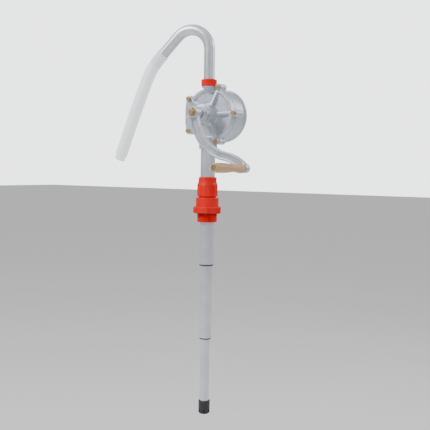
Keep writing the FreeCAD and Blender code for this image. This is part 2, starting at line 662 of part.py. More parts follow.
def make_spring(start, end, along):
    """A small coil spring lying radially in a vane slot."""
    wire = SIZES["spring_wire"]
    coil = SIZES["spring_coil"]
    rise = end - start - 2 * wire
    helix = Part.makeHelix(rise / SIZES["spring_turns"], rise, coil)
    section = Part.Wire(Part.makeCircle(wire, V(coil, 0, 0), V(0, 1, 0)))
    spring = Part.Wire(helix.Edges).makePipeShell([section], True, True)
    spring.Placement = FreeCAD.Placement(V(start + wire, along, 0), FreeCAD.Rotation(V(0, 1, 0), 90))
    return spring


def make_bearings_and_gland():
    """Bushes, packing and the gland nut that squeezes it."""
    bore = "shaft_radius + running_gap"
    turned("front_bush", ring(bore, "bush_radius", "packing_back", "plate_back"), "Y", up="axis_height")
    turned("rear_bush", ring(bore, "bush_radius", "chamber_back", "chamber_back + bearing_long"), "Y",
           up="axis_height")
    rings = []
    for i in range(SIZES["packing_count"]):
        place = f"packing_back - {i + 1} * packing_pitch"
        disc = solid_cylinder("Packing", "packing_radius", "packing_thick", place, up="axis_height")
        eye = solid_cylinder("Eye", bore, "packing_thick", place, up="axis_height")
        rings.append(combined("Cut", "PackingRing", disc, eye))
    group("packing_rings", rings)
    nut = turned("gland_nut", [
        ("gland_bore", "packing_back - gland_inside"), ("packing_radius", "packing_back - gland_inside"),
        ("packing_radius", "gland_back"), ("gland_radius", "gland_back"),
        ("gland_radius", "gland_step + soft"), ("gland_radius - soft", "gland_step"),
        ("gland_nose + soft", "gland_step"), ("gland_nose", "gland_step - soft"),
        ("gland_nose", "gland_front + rim_soft"), ("gland_nose - rim_soft", "gland_front"),
        ("gland_bore", "gland_front"),
    ], "Y", up="axis_height")
    lugs = new_sketch(nut, "XZ_Plane", "-(gland_step + soft)")
    near = "gland_radius - 2 * over"
    far = "gland_radius + gland_lug_reach"
    draw_outline(lugs, [(near, "-gland_lug_half"), (far, "-gland_lug_half"),
                        (far, "gland_lug_half"), (near, "gland_lug_half")])
    lug = extrude(nut, lugs, "gland_back - gland_step - soft")
    repeat_round(nut, [lug], "Y_Axis", "gland_lug_count")


# ---------------------------------------------------------------- crank and grip
def crank_end():
    """Where the arm's centre line ends, from the shaft: across and up."""
    turn = math.radians(SIZES["arm_turn"])
    rest = math.radians(SIZES["arm_turn"] - SIZES["arm_back_turn"])
    across = SIZES["arm_bend"] - (SIZES["arm_bend"] + SIZES["arm_sweep"]) * math.cos(turn)
    up = -(SIZES["arm_bend"] + SIZES["arm_sweep"]) * math.sin(turn)
    return across + SIZES["arm_sweep"] * math.cos(rest), up + SIZES["arm_sweep"] * math.sin(rest)


def draw_arm_spine(body):
    """The arm's S curve: two arcs, tangent to each other, leaving the hub straight down."""
    sketch = new_sketch(body, "XZ_Plane")
    bend = SIZES["arm_bend"]
    sweep = SIZES["arm_sweep"]
    turn = math.radians(SIZES["arm_turn"])
    rest = math.radians(SIZES["arm_turn"] - SIZES["arm_back_turn"])
    joint = V(bend - bend * math.cos(turn), -bend * math.sin(turn), 0)
    centre = joint - V(math.cos(turn), math.sin(turn), 0) * sweep
    first = Part.ArcOfCircle(Part.Circle(V(bend, 0, 0), V(0, 0, 1), bend), math.pi, math.pi + turn)
    second = Part.ArcOfCircle(Part.Circle(centre, V(0, 0, 1), sweep), rest, turn)
    sketch.addGeometry([first, second], False)
    for kind in (("Coincident", 0, 1, -1, 1), ("PointOnObject", 0, 3, -1), ("Tangent", 0, 2, 1, 2)):
        sketch.addConstraint(Sketcher.Constraint(*kind))
    end_across = "arm_bend - (arm_bend + arm_sweep) * cos(arm_turn)"
    sized = (
        (("Radius", 0, bend), "arm_bend"),
        (("Radius", 1, sweep), "arm_sweep"),
        (("DistanceX", -1, 1, 0, 2, joint.x), "arm_bend * (1 - cos(arm_turn))"),
        (("DistanceX", -1, 1, 1, 1, crank_end()[0]),
         f"{end_across} + arm_sweep * cos(arm_turn - arm_back_turn)"),
    )
    for values, words in sized:
        index = sketch.addConstraint(Sketcher.Constraint(*values))
        bind(sketch, f"Constraints[{index}]", words)
    return sketch


def make_crank_arm():
    """Cast S-shaped arm of channel section, with a hub for the shaft and an eye for the grip."""
    body = new_body("crank_arm", "arm_middle", "axis_height")
    spine = draw_arm_spine(body)
    section = new_sketch(body, "XY_Plane")
    half = "arm_wide / 2"
    inner = "arm_wide / 2 - arm_rim"
    front = "-arm_thick / 2"
    back = "arm_thick / 2"
    draw_outline(section, [
        (f"-({half})", front), (f"-({inner})", front), (f"-({inner})", "-arm_web_front"),
        (inner, "-arm_web_front"), (inner, front), (half, front), (half, back), (inner, back),
        (inner, "arm_web_back"), (f"-({inner})", "arm_web_back"), (f"-({inner})", back), (f"-({half})", back),
    ])
    arm = body.newObject("PartDesign::AdditivePipe", "Arm")
    arm.Profile = section
    arm.Spine = (spine, ["Edge1", "Edge2"])
    DOC.recompute()
    revolve(body, ring("0", "hub_radius", "hub_front - arm_middle", "hub_back - arm_middle"), about="Y")
    across, up = crank_end()
    eye = new_sketch(body, "XZ_Plane")
    draw_circle(eye, f"{across:.4f}", f"{up:.4f}", "eye_radius")
    extrude(body, eye, "2 * eye_half", midplane=True)
    revolve(body, ring("0", "shaft_radius", "hub_front - arm_middle - over", "hub_back - arm_middle + over"),
            about="Y", cut=True)
    keyway = new_sketch(body, "XZ_Plane", "arm_middle - hub_front")
    draw_outline(keyway, oblong("key_wide / 2", "0", "shaft_radius + key_wide / 2"))
    extrude(body, keyway, "hub_back - hub_front", cut=True)
    hole = new_sketch(body, "XZ_Plane")
    draw_circle(hole, f"{across:.4f}", f"{up:.4f}", "spindle_radius")
    extrude(body, hole, "2 * (eye_half + over)", cut=True, midplane=True)


def make_crank_fasteners():
    """Bolt and washer that hold the hub on the shaft's end."""
    face = "hub_front - end_washer_thick"
    shank = solid_cylinder("Shank", "bolt_radius", "tap_deep", "hub_front", up="axis_height")
    head = hex_prism("Head", "hex_flats", "head_high", f"{face} - head_high", up="axis_height")
    neck = solid_cylinder("Neck", "bolt_radius", "end_washer_thick", face, up="axis_height")
    bolt = combined("Fuse", "crank_bolt", combined("Fuse", "Top", head, neck), shank)
    bolt.Label = "crank_bolt"
    NODES["crank_bolt"] = bolt
    disc = solid_cylinder("Disc", "end_washer_radius", "end_washer_thick", face, up="axis_height")
    eye = solid_cylinder("Eye", "bolt_radius", "end_washer_thick", face, up="axis_height")
    washer = combined("Cut", "crank_washer", disc, eye)
    washer.Label = "crank_washer"
    NODES["crank_washer"] = washer


def grip_frame():
    """The grip axis's placement, at the shaft's own position along Y."""
    across, up = crank_end()
    return FreeCAD.Placement(V(across, 0, SIZES["axis_height"] + up), FreeCAD.Rotation())


def make_grip():
    """Turned wooden grip with a sunk near end, loose on its spindle."""
    back = SIZES["grip_back"]
    front = SIZES["grip_front"]
    long = back - front
    floor = front + SIZES["grip_sink"]
    bore = SIZES["spindle_radius"] + SIZES["free_gap"]
    cup = SIZES["spindle_head"] + SIZES["cup_gap"]
    curve = Part.BSplineCurve()
    curve.interpolate([V(0, back - share * long, radius) for share, radius in GRIP_OUTLINE])
    corners = [curve.EndPoint, V(0, front, cup + SIZES["cup_lip"]), V(0, front, cup), V(0, floor, cup),
               V(0, floor, bore), V(0, back, bore), V(0, back, SIZES["grip_foot"]), curve.StartPoint]
    edges = [curve.toShape()] + [Part.makeLine(a, b) for a, b in zip(corners, corners[1:])]
    face = Part.Face(Part.Wire(Part.__sortEdges__(edges)))
    grip = face.revolve(V(0, 0, 0), V(0, 1, 0), 360)
    free_shape("wooden_grip", grip, grip_frame())


def make_spindle():
    """Steel spindle through the eye and the grip, with a cheese head in the grip and a nut behind."""
    body = loose_body("grip_spindle")
    end = "arm_middle + eye_half"
    revolve(body, [
        ("0", "grip_front + head_sunk"), ("spindle_head - head_soft", "grip_front + head_sunk"),
        ("spindle_head", "grip_front + head_sunk + head_soft"), ("spindle_head", "grip_front + head_back"),
        ("spindle_radius", "grip_front + head_back"), ("spindle_radius", f"{end} + spindle_tail"),
        ("0", f"{end} + spindle_tail"),
    ], about="Y")
    slot = new_sketch(body, "XZ_Plane", "-(grip_front + head_sunk)")
    draw_outline(slot, oblong("driver_reach", "-driver_half", "driver_half"))
    extrude(body, slot, "driver_deep", cut=True)
    body.Placement = grip_frame()
    nut = loose_body("spindle_nut")
    hexagon = new_sketch(nut, "XZ_Plane", f"-({end})")
    corner = "hex_flats / sqrt(3)"
    draw_outline(hexagon, [(f"{corner} * cos({a})", f"{corner} * sin({a})") for a in range(0, 360, 60)])
    draw_circle(hexagon, "0", "0", "spindle_radius")
    extrude(nut, hexagon, "spindle_nut_high")
    nut.Placement = grip_frame()
    washer = turned("grip_washer", ring("spindle_radius", "grip_washer_radius", "grip_back + grip_washer_low",
                                        "grip_back + grip_washer_high"), "Y", None, None)
    washer.Placement = grip_frame()


# ---------------------------------------------------------------- spout and hose
def spout_frame():
    """The spout's own plane turned to its heading about the column's axis."""
    return FreeCAD.Placement(V(0, 0, 0), FreeCAD.Rotation(V(0, 0, 1), SIZES["spout_heading"]))


def spout_corners():
    """The spine of the spout: foot, bend start, bend middle, bend end and the end inside the hose."""
    low = SIZES["axis_height"] + SIZES["spout_low"]
    rise = SIZES["axis_height"] + SIZES["spout_rise"]
    bend = SIZES["spout_bend"]
    turn = math.radians(SIZES["spout_turn"])
    along = V(math.sin(turn), 0, math.cos(turn))
    centre = V(bend, 0, rise)

    def on_bend(angle):
        return centre + V(-math.cos(angle), 0, math.sin(angle)) * bend

    leg = SIZES["spout_leg"] + SIZES["spout_in_hose"]
    return V(0, 0, low), V(0, 0, rise), on_bend(turn / 2), on_bend(turn), on_bend(turn) + along * leg


def tube_along(path, rim, bore):
    """Sweep a ring along a tangent path of lines and arcs."""
    wire = Part.Wire(path)
    start = path[0].firstVertex().Point
    heading = path[0].tangentAt(path[0].FirstParameter)
    shells = [wire.makePipeShell([Part.Wire(Part.makeCircle(radius, start, heading))], True, True)
              for radius in (rim, bore)]
    return shells[0].cut(shells[1])


def make_spout_tube():
    """Bent spout with the bead that the collar traps."""
    foot, start, middle, end, tip = spout_corners()
    path = [Part.makeLine(foot, start), Part.Arc(start, middle, end).toShape(), Part.makeLine(end, tip)]
    rim = SIZES["spout_rim"]
    tube = tube_along(path, rim, rim - SIZES["spout_wall"])
    low = SIZES["axis_height"] + SIZES["bead_low"]
    bead = Part.makeCylinder(SIZES["bead_rim"], SIZES["bead_high"] - SIZES["bead_low"], V(0, 0, low))
    over = SIZES["over"]
    bead = bead.cut(Part.makeCylinder(rim - SIZES["spout_wall"] / 2, SIZES["bead_high"], V(0, 0, low - over)))
    free_shape("spout_tube", tube.fuse(bead).removeSplitter(), spout_frame())


def make_spout_collar():
    """Red collar nut on the neck, and the seal under the spout's bead."""
    turned("spout_collar", [
        ("neck_screw + free_gap", "cap_low"), ("cap_radius - soft", "cap_low"),
        ("cap_radius", "cap_low + soft"),
        ("cap_radius", "cap_top - cap_round"), ("cap_radius - cap_round * 0.3", "cap_top - cap_round * 0.3"),
        ("cap_radius - cap_round", "cap_top"),
        ("spout_rim + free_gap", "cap_top"), ("spout_rim + free_gap", "cap_lip"),
        ("neck_screw + free_gap", "cap_lip"),
    ], up="axis_height")
    neck = NODES["front_housing"]
    revolve(neck, ring("0", "neck_screw - seal_wall", "neck_end - seal_deep", "neck_end + over"), cut=True)
    turned("spout_seal", ring("spout_rim + free_gap", "neck_screw - seal_wall", "neck_end - seal_deep",
                              "neck_end + seal_proud"), up="axis_height")


def hose_path():
    """Straight runs joined by the largest tangent arcs that the route leaves room for."""
    route = [V(reach, 0, height) for reach, height in HOSE_ROUTE]
    path = []
    here = route[0]
    for before, corner, after in zip(route, route[1:], route[2:]):
        into = corner - before
        out = after - corner
        share = ARC_SHARE * min(into.Length, out.Length)
        turn = into.getAngle(out)
        radius = share / math.tan(turn / 2)
        print(f"hose arc radius {radius:.0f} mm")
        start = corner - into.normalize() * share
        end = corner + out.normalize() * share
        lift = (start + end) * 0.5 - corner
        middle = corner + lift.normalize() * (radius / math.cos(turn / 2) - radius)
        path += [Part.makeLine(here, start), Part.Arc(start, middle, end).toShape()]
        here = end
    path.append(Part.makeLine(here, route[-1]))
    return path


def make_hose():
    """Delivery hose, pushed over the spout's end at its lip."""
    path = hose_path()
    hose = tube_along(path, SIZES["hose_rim"], SIZES["hose_bore"])
    length = sum(edge.Length for edge in path)
    section = math.pi * (SIZES["hose_rim"] ** 2 - SIZES["hose_bore"] ** 2)
    print(f"hose {length:.1f} mm long, volume over section times length {hose.Volume / section / length:.4f}")
    free_shape("delivery_hose", hose, spout_frame())


def make_hose_tip():
    """Spigot that plugs into the hose and narrows to a plain outlet."""
    body = turned("hose_tip", [
        ("tip_bore", "-tip_inside"), ("hose_bore", "-tip_inside"), ("hose_bore", "0"),
        ("hose_rim - tip_inset", "0"), ("hose_rim - tip_inset", "tip_shoulder"), ("tip_rim", "tip_shoulder"),
        ("tip_rim", "tip_long - soft_long"), ("tip_rim - soft", "tip_long"), ("tip_bore", "tip_long"),
    ], along=None, up=None)
    last, before = (V(reach, 0, height) for reach, height in (HOSE_ROUTE[-1], HOSE_ROUTE[-2]))
    turn = FreeCAD.Rotation(V(0, 0, 1), last - before)
    body.Placement = spout_frame().multiply(FreeCAD.Placement(last, turn))


# ---------------------------------------------------------------- build and write
def make_all():
    """Build every sub-part in the order it would be assembled."""
    fill_sheet()
    make_bung_adapter()
    make_clamp_parts()
    make_suction_tubes()
    make_front_housing()
    make_rear_casing()
    make_housing_gasket()
    make_cover_fasteners()
    make_shaft()
    make_keys()
    make_rotor()
    make_vanes()
    make_bearings_and_gland()
    make_crank_arm()
    make_crank_fasteners()
    make_grip()
    make_spindle()
    make_spout_tube()
    make_spout_collar()
    make_hose()
    make_hose_tip()
    DOC.recompute()


def check_document():
    """Stop if any object failed or any sub-part has no valid shape."""
    for item in DOC.Objects:
        if any(word in item.State for word in ("Invalid", "Error")):
            raise ValueError(f"{item.Label} is {item.State}")
    for label, item in NODES.items():
        if item.Shape.isNull() or not item.Shape.isValid() or not item.Shape.Solids:
            raise ValueError(f"{label} has no valid shape")


def write_parts():
    """Write one STEP file for each sub-part."""
    os.makedirs("parts", exist_ok=True)
    for label, item in NODES.items():
        item.Shape.exportStep(f"parts/{label}.step")
        print(f"{label}: {len(item.Shape.Solids)} solid(s), {item.Shape.Volume / 1000:.1f} cm3")


make_all()
check_document()
write_parts()
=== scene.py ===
"""Looks of a hand-cranked drum barrel pump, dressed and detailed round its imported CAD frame.

Every length is in metres, in the frame of the CAD: +Z runs up the column, the crankshaft lies along Y
with the crank towards -Y, and the spout leans towards -X.
"""
import json
import logging
import math
from collections.abc import Callable, Sequence
from dataclasses import dataclass, field
from enum import Enum
from typing import Any

import bmesh
import bpy
from mathutils import Matrix, Vector


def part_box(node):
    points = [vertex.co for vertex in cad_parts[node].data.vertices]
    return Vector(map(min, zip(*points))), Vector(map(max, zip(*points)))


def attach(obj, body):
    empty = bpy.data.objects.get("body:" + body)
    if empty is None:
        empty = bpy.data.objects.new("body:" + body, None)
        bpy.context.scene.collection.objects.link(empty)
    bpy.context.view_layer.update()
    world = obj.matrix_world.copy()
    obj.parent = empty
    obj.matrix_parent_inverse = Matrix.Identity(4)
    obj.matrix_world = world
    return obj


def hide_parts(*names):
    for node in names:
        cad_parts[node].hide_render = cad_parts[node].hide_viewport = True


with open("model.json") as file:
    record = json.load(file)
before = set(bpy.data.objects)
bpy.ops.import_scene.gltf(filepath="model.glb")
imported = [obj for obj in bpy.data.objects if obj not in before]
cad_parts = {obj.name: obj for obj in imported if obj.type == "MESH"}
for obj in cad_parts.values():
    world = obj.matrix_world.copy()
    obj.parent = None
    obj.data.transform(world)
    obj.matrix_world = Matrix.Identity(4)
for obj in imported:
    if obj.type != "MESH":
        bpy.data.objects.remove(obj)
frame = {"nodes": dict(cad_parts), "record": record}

LOG = logging.getLogger("drum_pump")
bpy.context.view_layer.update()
MM = 0.001
TURN = 2 * math.pi
# How strong each finer octave of a noise is beside the one before.
FINE_OCTAVES = 0.55
# Points nearer to each other than TOUCHING are made one; a ring narrower than POLE is one point.
TOUCHING = 0.001 * MM
POLE = 0.0001 * MM
# How many chords round a soft corner, and the angle above which an edge stays sharp.
CORNER_CHORDS = 4
CREASE = math.radians(32.0)
Colour = tuple[float, float, float]
Point = tuple[float, float, float]


class Body(Enum):
    """The bodies that pieces ride on."""

    ADAPTER = "adapter"
    CLAMP_NUT = "clamp_nut_body"
    PUMP = "pump"
    CRANKSHAFT = "crankshaft"
    COLLAR = "collar"
    SPOUT = "spout"


# ---------------------------------------------------------------- shader maths
class Reading:
    """A value that varies over a surface, held as the output socket that gives it."""

    def __init__(self, bench: "NodeTree", socket: bpy.types.NodeSocket) -> None:
        """Wrap an output socket of a tree's node."""
        self.bench = bench
        self.socket = socket

    def _maths(self, operation: str, first: Any, second: Any) -> "Reading":
        """Add one Math node for an operation on two values.

        Args:
            operation: The Math node's operation.
            first: A Reading or a number.
            second: A Reading or a number.

        Returns:
            The node's result.
        """
        return self.bench.node("ShaderNodeMath", {"operation": operation}, {0: first, 1: second})

    def __add__(self, other: Any) -> "Reading":
        """Sum with a value."""
        return self._maths("ADD", self, other)

    def __radd__(self, other: Any) -> "Reading":
        """Sum with a value on the left."""
        return self._maths("ADD", other, self)

    def __sub__(self, other: Any) -> "Reading":
        """Difference from a value."""
        return self._maths("SUBTRACT", self, other)

    def __rsub__(self, other: Any) -> "Reading":
        """Difference from a value on the left."""
        return self._maths("SUBTRACT", other, self)

    def __mul__(self, other: Any) -> "Reading":
        """Product with a value."""
        return self._maths("MULTIPLY", self, other)

    def __rmul__(self, other: Any) -> "Reading":
        """Product with a value on the left."""
        return self._maths("MULTIPLY", other, self)

    def ramp(self, low: float, high: float) -> "Reading":
        """Rise smoothly from 0 at low to 1 at high.

        Args:
            low: The value that gives 0.
            high: The value that gives 1.

        Returns:
            The eased value.
        """
        return self.bench.node(
            "ShaderNodeMapRange", {"interpolation_type": "SMOOTHSTEP"},
            {"Value": self, "From Min": low, "From Max": high})


class NodeTree:
    """A tree of shader nodes that are added by type, settings and inputs."""

    def __init__(self, tree: bpy.types.NodeTree) -> None:
        """Work on a material's or a world's tree."""
        self.tree = tree

    def node(self, kind: str, settings: dict[str, Any], inputs: dict[Any, Any],
             output: Any = 0) -> Reading:
        """Add a node, set it up and join its sockets.

        Args:
            kind: The node's type.
            settings: Its settings, set first; "stops" holds a ramp's places and colours.
            inputs: Values or Readings by the name or number of the socket.
            output: The name or number of the socket to read.

        Returns:
            The reading of that output.
        """
        made = self.tree.nodes.new(kind)
        for key, value in settings.items():
            if key == "stops":
                self._set_stops(made.color_ramp, value)
            else:
                setattr(made, key, value)
        for key, value in inputs.items():
            self.join(made.inputs[key], value)
        return Reading(self, made.outputs[output])

    @staticmethod
    def _set_stops(ramp: bpy.types.ColorRamp, stops: Sequence[tuple[float, Colour]]) -> None:
        """Give a colour ramp its stops.

        Args:
            ramp: The ramp of a new node.
            stops: Places from 0 to 1 with their colours.
        """
        while len(ramp.elements) < len(stops):
            ramp.elements.new(0.5)
        for element, (place, colour) in zip(ramp.elements, stops):
            element.position = place
            element.color = (*colour, 1.0)

    def join(self, socket: bpy.types.NodeSocket, value: Any) -> None:
        """Link a reading to a socket, or set a constant on it.

        Args:
            socket: The socket to feed.
            value: A Reading, a number, or a colour or vector as a tuple.
        """
        if isinstance(value, Reading):
            self.tree.links.new(value.socket, socket)
        elif isinstance(value, tuple) and socket.type == "RGBA":
            socket.default_value = (*value, 1.0)
        else:
            socket.default_value = value


class Bench(NodeTree):
    """The nodes of one material."""

    def __init__(self, name: str) -> None:
        """Start a material whose only nodes are its shader and its output."""
        self.material = bpy.data.materials.new(name)
        self.material.use_nodes = True
        super().__init__(self.material.node_tree)
        self.shader = next(node for node in self.tree.nodes if node.type == "BSDF_PRINCIPLED")

    def dress(self, **sockets: Any) -> None:
        """Feed the shader's sockets, named with underscores for spaces."""
        for name, value in sockets.items():
            self.join(self.shader.inputs[name.replace("_", " ")], value)

    def place(self) -> Reading:
        """Read the point of the surface in the CAD frame."""
        return self.node("ShaderNodeTexCoord", {}, {}, "Object")

    def stretched(self, shrink: Point) -> Reading:
        """Read the point of the surface with each axis scaled.

        Args:
            shrink: The factor along X, Y and Z.

        Returns:
            The scaled point.
        """
        return self.node("ShaderNodeMapping", {}, {"Vector": self.place(), "Scale": shrink})

    def noise(self, scale: float, detail: float, at: Reading | None = None) -> Reading:
        """Read a noise with a given number of features a metre.

        Args:
            scale: Features to the metre.
            detail: Octaves of finer noise.
            at: The point to read it at, or None for the CAD frame.

        Returns:
            The noise, from 0 to 1.
        """
        return self.node("ShaderNodeTexNoise", {}, {
            "Vector": at or self.place(), "Scale": scale, "Detail": detail, "Roughness": FINE_OCTAVES})

    def grained(self, shrink: Point, detail: float) -> Reading:
        """Read a noise stretched along the axes, with shrink's number of features a metre on each."""
        return self.noise(1.0, detail, self.stretched(shrink))

    def blend(self, share: Any, low: Any, high: Any) -> Reading:
        """Mix two colours.

        Args:
            share: The share of the second colour.
            low: The colour at 0.
            high: The colour at 1.

        Returns:
            The mixed colour.
        """
        return self.node("ShaderNodeMix", {"data_type": "RGBA"}, {0: share, 6: low, 7: high}, 2)

    def bump(self, height: Reading, depth: float, strength: float) -> Reading:
        """Turn a height into a surface normal.

        Args:
            height: The height, from 0 to 1.
            depth: How deep a height of 1 is.
            strength: How much of the bump shows.

        Returns:
            The bumped normal.
        """
        return self.node("ShaderNodeBump", {}, {
            "Height": height, "Distance": depth, "Strength": strength})


def shade(colour: Colour, factor: float) -> Colour:
    """Scale a colour's brightness."""
    return tuple(min(1.0, part * factor) for part in colour)


# ---------------------------------------------------------------- finishes
@dataclass(frozen=True)
class Finish:
    """A finish of one of the record's material slots.

    Blotches, specks and the like are counted in features to the metre, and depths are lengths.
    """

    slot: str
    tint: Colour

    def material(self) -> bpy.types.Material:
        """Find or make the finish's material.

        Returns:
            The material, shared by every piece in this finish.
        """
        name = f"{self.slot}_finish"
        known = bpy.data.materials.get(name)
        if known is not None:
            return known
        bench = Bench(name)
        self.paint(bench)
        return bench.material

    def paint(self, bench: Bench) -> None:
        """Feed the shader of a new material; each finish has its own."""
        raise NotImplementedError


@dataclass(frozen=True)
class CastAlloy(Finish):
    """Satin cast aluminium with sand grain and faint darker blotches."""

    roughness: float = 0.36
    metal: float = 0.72
    blotches: float = 38.0
    specks: float = 240.0
    grain: float = 620.0
    grain_depth: float = 0.14 * MM

    def paint(self, bench: Bench) -> None:
        """Mottle the colour and roughness, and bump the cast grain."""
        blotch = bench.noise(self.blotches, 5.0).ramp(0.3, 0.72)
        speck = bench.noise(self.specks, 3.0).ramp(0.35, 0.7)
        grain = bench.noise(self.grain, 2.0)
        share = blotch * 0.6 + speck * 0.4
        bench.dress(
            Base_Color=bench.blend(share, shade(self.tint, 0.86), shade(self.tint, 1.08)),
            Roughness=speck * 0.12 + blotch * 0.08 + self.roughness,
            Normal=bench.bump(grain * 0.7 + speck * 0.3, self.grain_depth, 0.8),
            Metallic=self.metal)


@dataclass(frozen=True)
class DrawnTube(Finish):
    """Zinc-plated drawn tube with cloudy plating and a fine satin skin."""

    roughness: float
    metal: float
    skin: float = 260.0
    skin_depth: float = 0.03 * MM
    clouds: float = 22.0

    def paint(self, bench: Bench) -> None:
        """Cloud the colour and the roughness, and bump the skin a little."""
        satin = bench.noise(self.skin, 3.0)
        cloud = bench.noise(self.clouds, 4.0).ramp(0.3, 0.75)
        share = cloud * 0.8 + satin * 0.2
        bench.dress(
            Base_Color=bench.blend(share, shade(self.tint, 0.9), shade(self.tint, 1.06)),
            Roughness=satin * 0.08 + cloud * 0.08 + self.roughness,
            Normal=bench.bump(satin, self.skin_depth, 0.4),
            Metallic=self.metal)


@dataclass(frozen=True)
class MouldedPlastic(Finish):
    """Moulded plastic with a soft skin and faint flow marks."""

    roughness: float
    gloss: float = 0.4
    flow: Point = (45.0, 45.0, 16.0)
    skin: float = 420.0
    skin_depth: float = 0.05 * MM

    def paint(self, bench: Bench) -> None:
        """Vary the colour a little and bump the moulded skin."""
        flow = bench.grained(self.flow, 3.0).ramp(0.3, 0.7)
        skin = bench.noise(self.skin, 2.0)
        bench.dress(
            Base_Color=bench.blend(flow, shade(self.tint, 0.9), shade(self.tint, 1.06)),
            Roughness=skin * 0.1 + flow * 0.06 + self.roughness,
            Normal=bench.bump(skin, self.skin_depth, 0.6),
            Specular_IOR_Level=self.gloss)


@dataclass(frozen=True)
class Plating(Finish):
    """Plated steel whose passivated film drifts between two colours."""

    film: Colour
    roughness: float = 0.26
    metal: float = 0.9
    drifts: float = 130.0
    specks: float = 1500.0
    speck_depth: float = 0.03 * MM

    def paint(self, bench: Bench) -> None:
        """Drift the film's colour and roughen it in fine specks."""
        drift = bench.noise(self.drifts, 3.0).ramp(0.3, 0.7)
        speck = bench.noise(self.specks, 2.0)
        bench.dress(
            Base_Color=bench.blend(drift, self.tint, self.film),
            Roughness=speck * 0.2 + self.roughness,
            Normal=bench.bump(speck, self.speck_depth, 0.5),
            Metallic=self.metal)


@dataclass(frozen=True)
class BlackRubber(Finish):
    """Matt rubber or jointing sheet with a fine pitted skin."""

    roughness: float = 0.62
    pits: float = 900.0
    pit_depth: float = 0.08 * MM
    dusting: float = 160.0

    def paint(self, bench: Bench) -> None:
        """Dust the colour and pit the surface."""
        dust = bench.noise(self.dusting, 4.0).ramp(0.4, 0.8)
        pits = bench.noise(self.pits, 2.0)
        bench.dress(
            Base_Color=bench.blend(dust, self.tint, shade(self.tint, 2.2)),
            Roughness=pits * 0.2 + self.roughness,
            Normal=bench.bump(pits, self.pit_depth, 0.7))


@dataclass(frozen=True)
class OiledBeech(Finish):
    """Turned beech with long grain along Y, short ray flecks and darker growth lines."""

    dark: Colour
    roughness: float = 0.44
    growth: Point = (150.0, 7.0, 150.0)
    fibres: Point = (1300.0, 45.0, 1300.0)
    flecks: Point = (800.0, 210.0, 800.0)
    grain_depth: float = 0.12 * MM

    def paint(self, bench: Bench) -> None:
        """Lay growth lines, fine fibres and flecks along the grain."""
        rings = bench.grained(self.growth, 2.0).ramp(0.35, 0.68)
        fibre = bench.grained(self.fibres, 3.0)
        fleck = bench.grained(self.flecks, 1.0).ramp(0.66, 0.74)
        share = rings * 0.42 + fibre * 0.33 + fleck * 0.25
        bench.dress(
            Base_Color=bench.blend(share, self.tint, self.dark),
            Roughness=fibre * 0.2 + self.roughness,
            Normal=bench.bump(fibre * 0.7 + fleck * 0.3, self.grain_depth, 0.6))


@dataclass(frozen=True)
class ClearedHose(Finish):
    """Milky hose plastic, greyer where the metal spout inside shows through it, with a painted glow that
    lightens the whole hose though it is no lamp.
    """

    behind: Colour
    roughness: float = 0.36
    mouth: Point = (-0.14884, -0.02092, 0.4704)
    covered: float = 40 * MM
    open_from: float = 51 * MM
    clouds: float = 60.0
    ripples: float = 210.0
    ripple_depth: float = 0.25 * MM
    soak: float = 12 * MM
    # Painted glow: an even emission that lightens the hose though it is no lamp.
    painted_glow: Colour = (0.9, 0.93, 1.0)
    painted_glow_strength: float = 0.55

    def paint(self, bench: Bench) -> None:
        """Tint the length over the spout, cloud the rest and add the painted glow, an emission that
        lightens the hose.
        """
        away = bench.node("ShaderNodeVectorMath", {"operation": "DISTANCE"},
                          {0: bench.place(), 1: self.mouth}, "Value")
        over_spout = 1.0 - away.ramp(self.covered, self.open_from)
        cloud = bench.noise(self.clouds, 4.0).ramp(0.3, 0.75)
        ripple = bench.noise(self.ripples, 2.0)
        milky = bench.blend(cloud, shade(self.tint, 0.955), self.tint)
        bench.dress(
            Base_Color=bench.blend(over_spout * 0.85, milky, self.behind),
            Roughness=ripple * 0.14 + self.roughness,
            Normal=bench.bump(ripple * 0.6 + cloud * 0.4, self.ripple_depth, 0.5),
            Subsurface_Weight=0.2, Subsurface_Radius=(self.soak,) * 3, Subsurface_Scale=0.2,
            # The emission here is painted glow that brightens the hose, not a lamp.
            Emission_Color=self.painted_glow, Emission_Strength=self.painted_glow_strength)


@dataclass(frozen=True)
class BraidedPacking(Finish):
    """Greased square braid of gland packing."""

    roughness: float = 0.45
    strands: float = 320.0
    strand_depth: float = 0.3 * MM
    grease: float = 180.0

    def paint(self, bench: Bench) -> None:
        """Lay wavering diagonal strands and darken the grease between them."""
        strands = bench.node("ShaderNodeTexWave", {"bands_direction": "DIAGONAL"},
                             {"Vector": bench.place(), "Scale": self.strands, "Distortion": 2.0}, "Fac")
        grease = bench.noise(self.grease, 3.0)
        bench.dress(
            Base_Color=bench.blend(strands * grease, shade(self.tint, 0.45), self.tint),
            Roughness=strands * 0.25 + self.roughness,
            Normal=bench.bump(strands, self.strand_depth, 0.7))


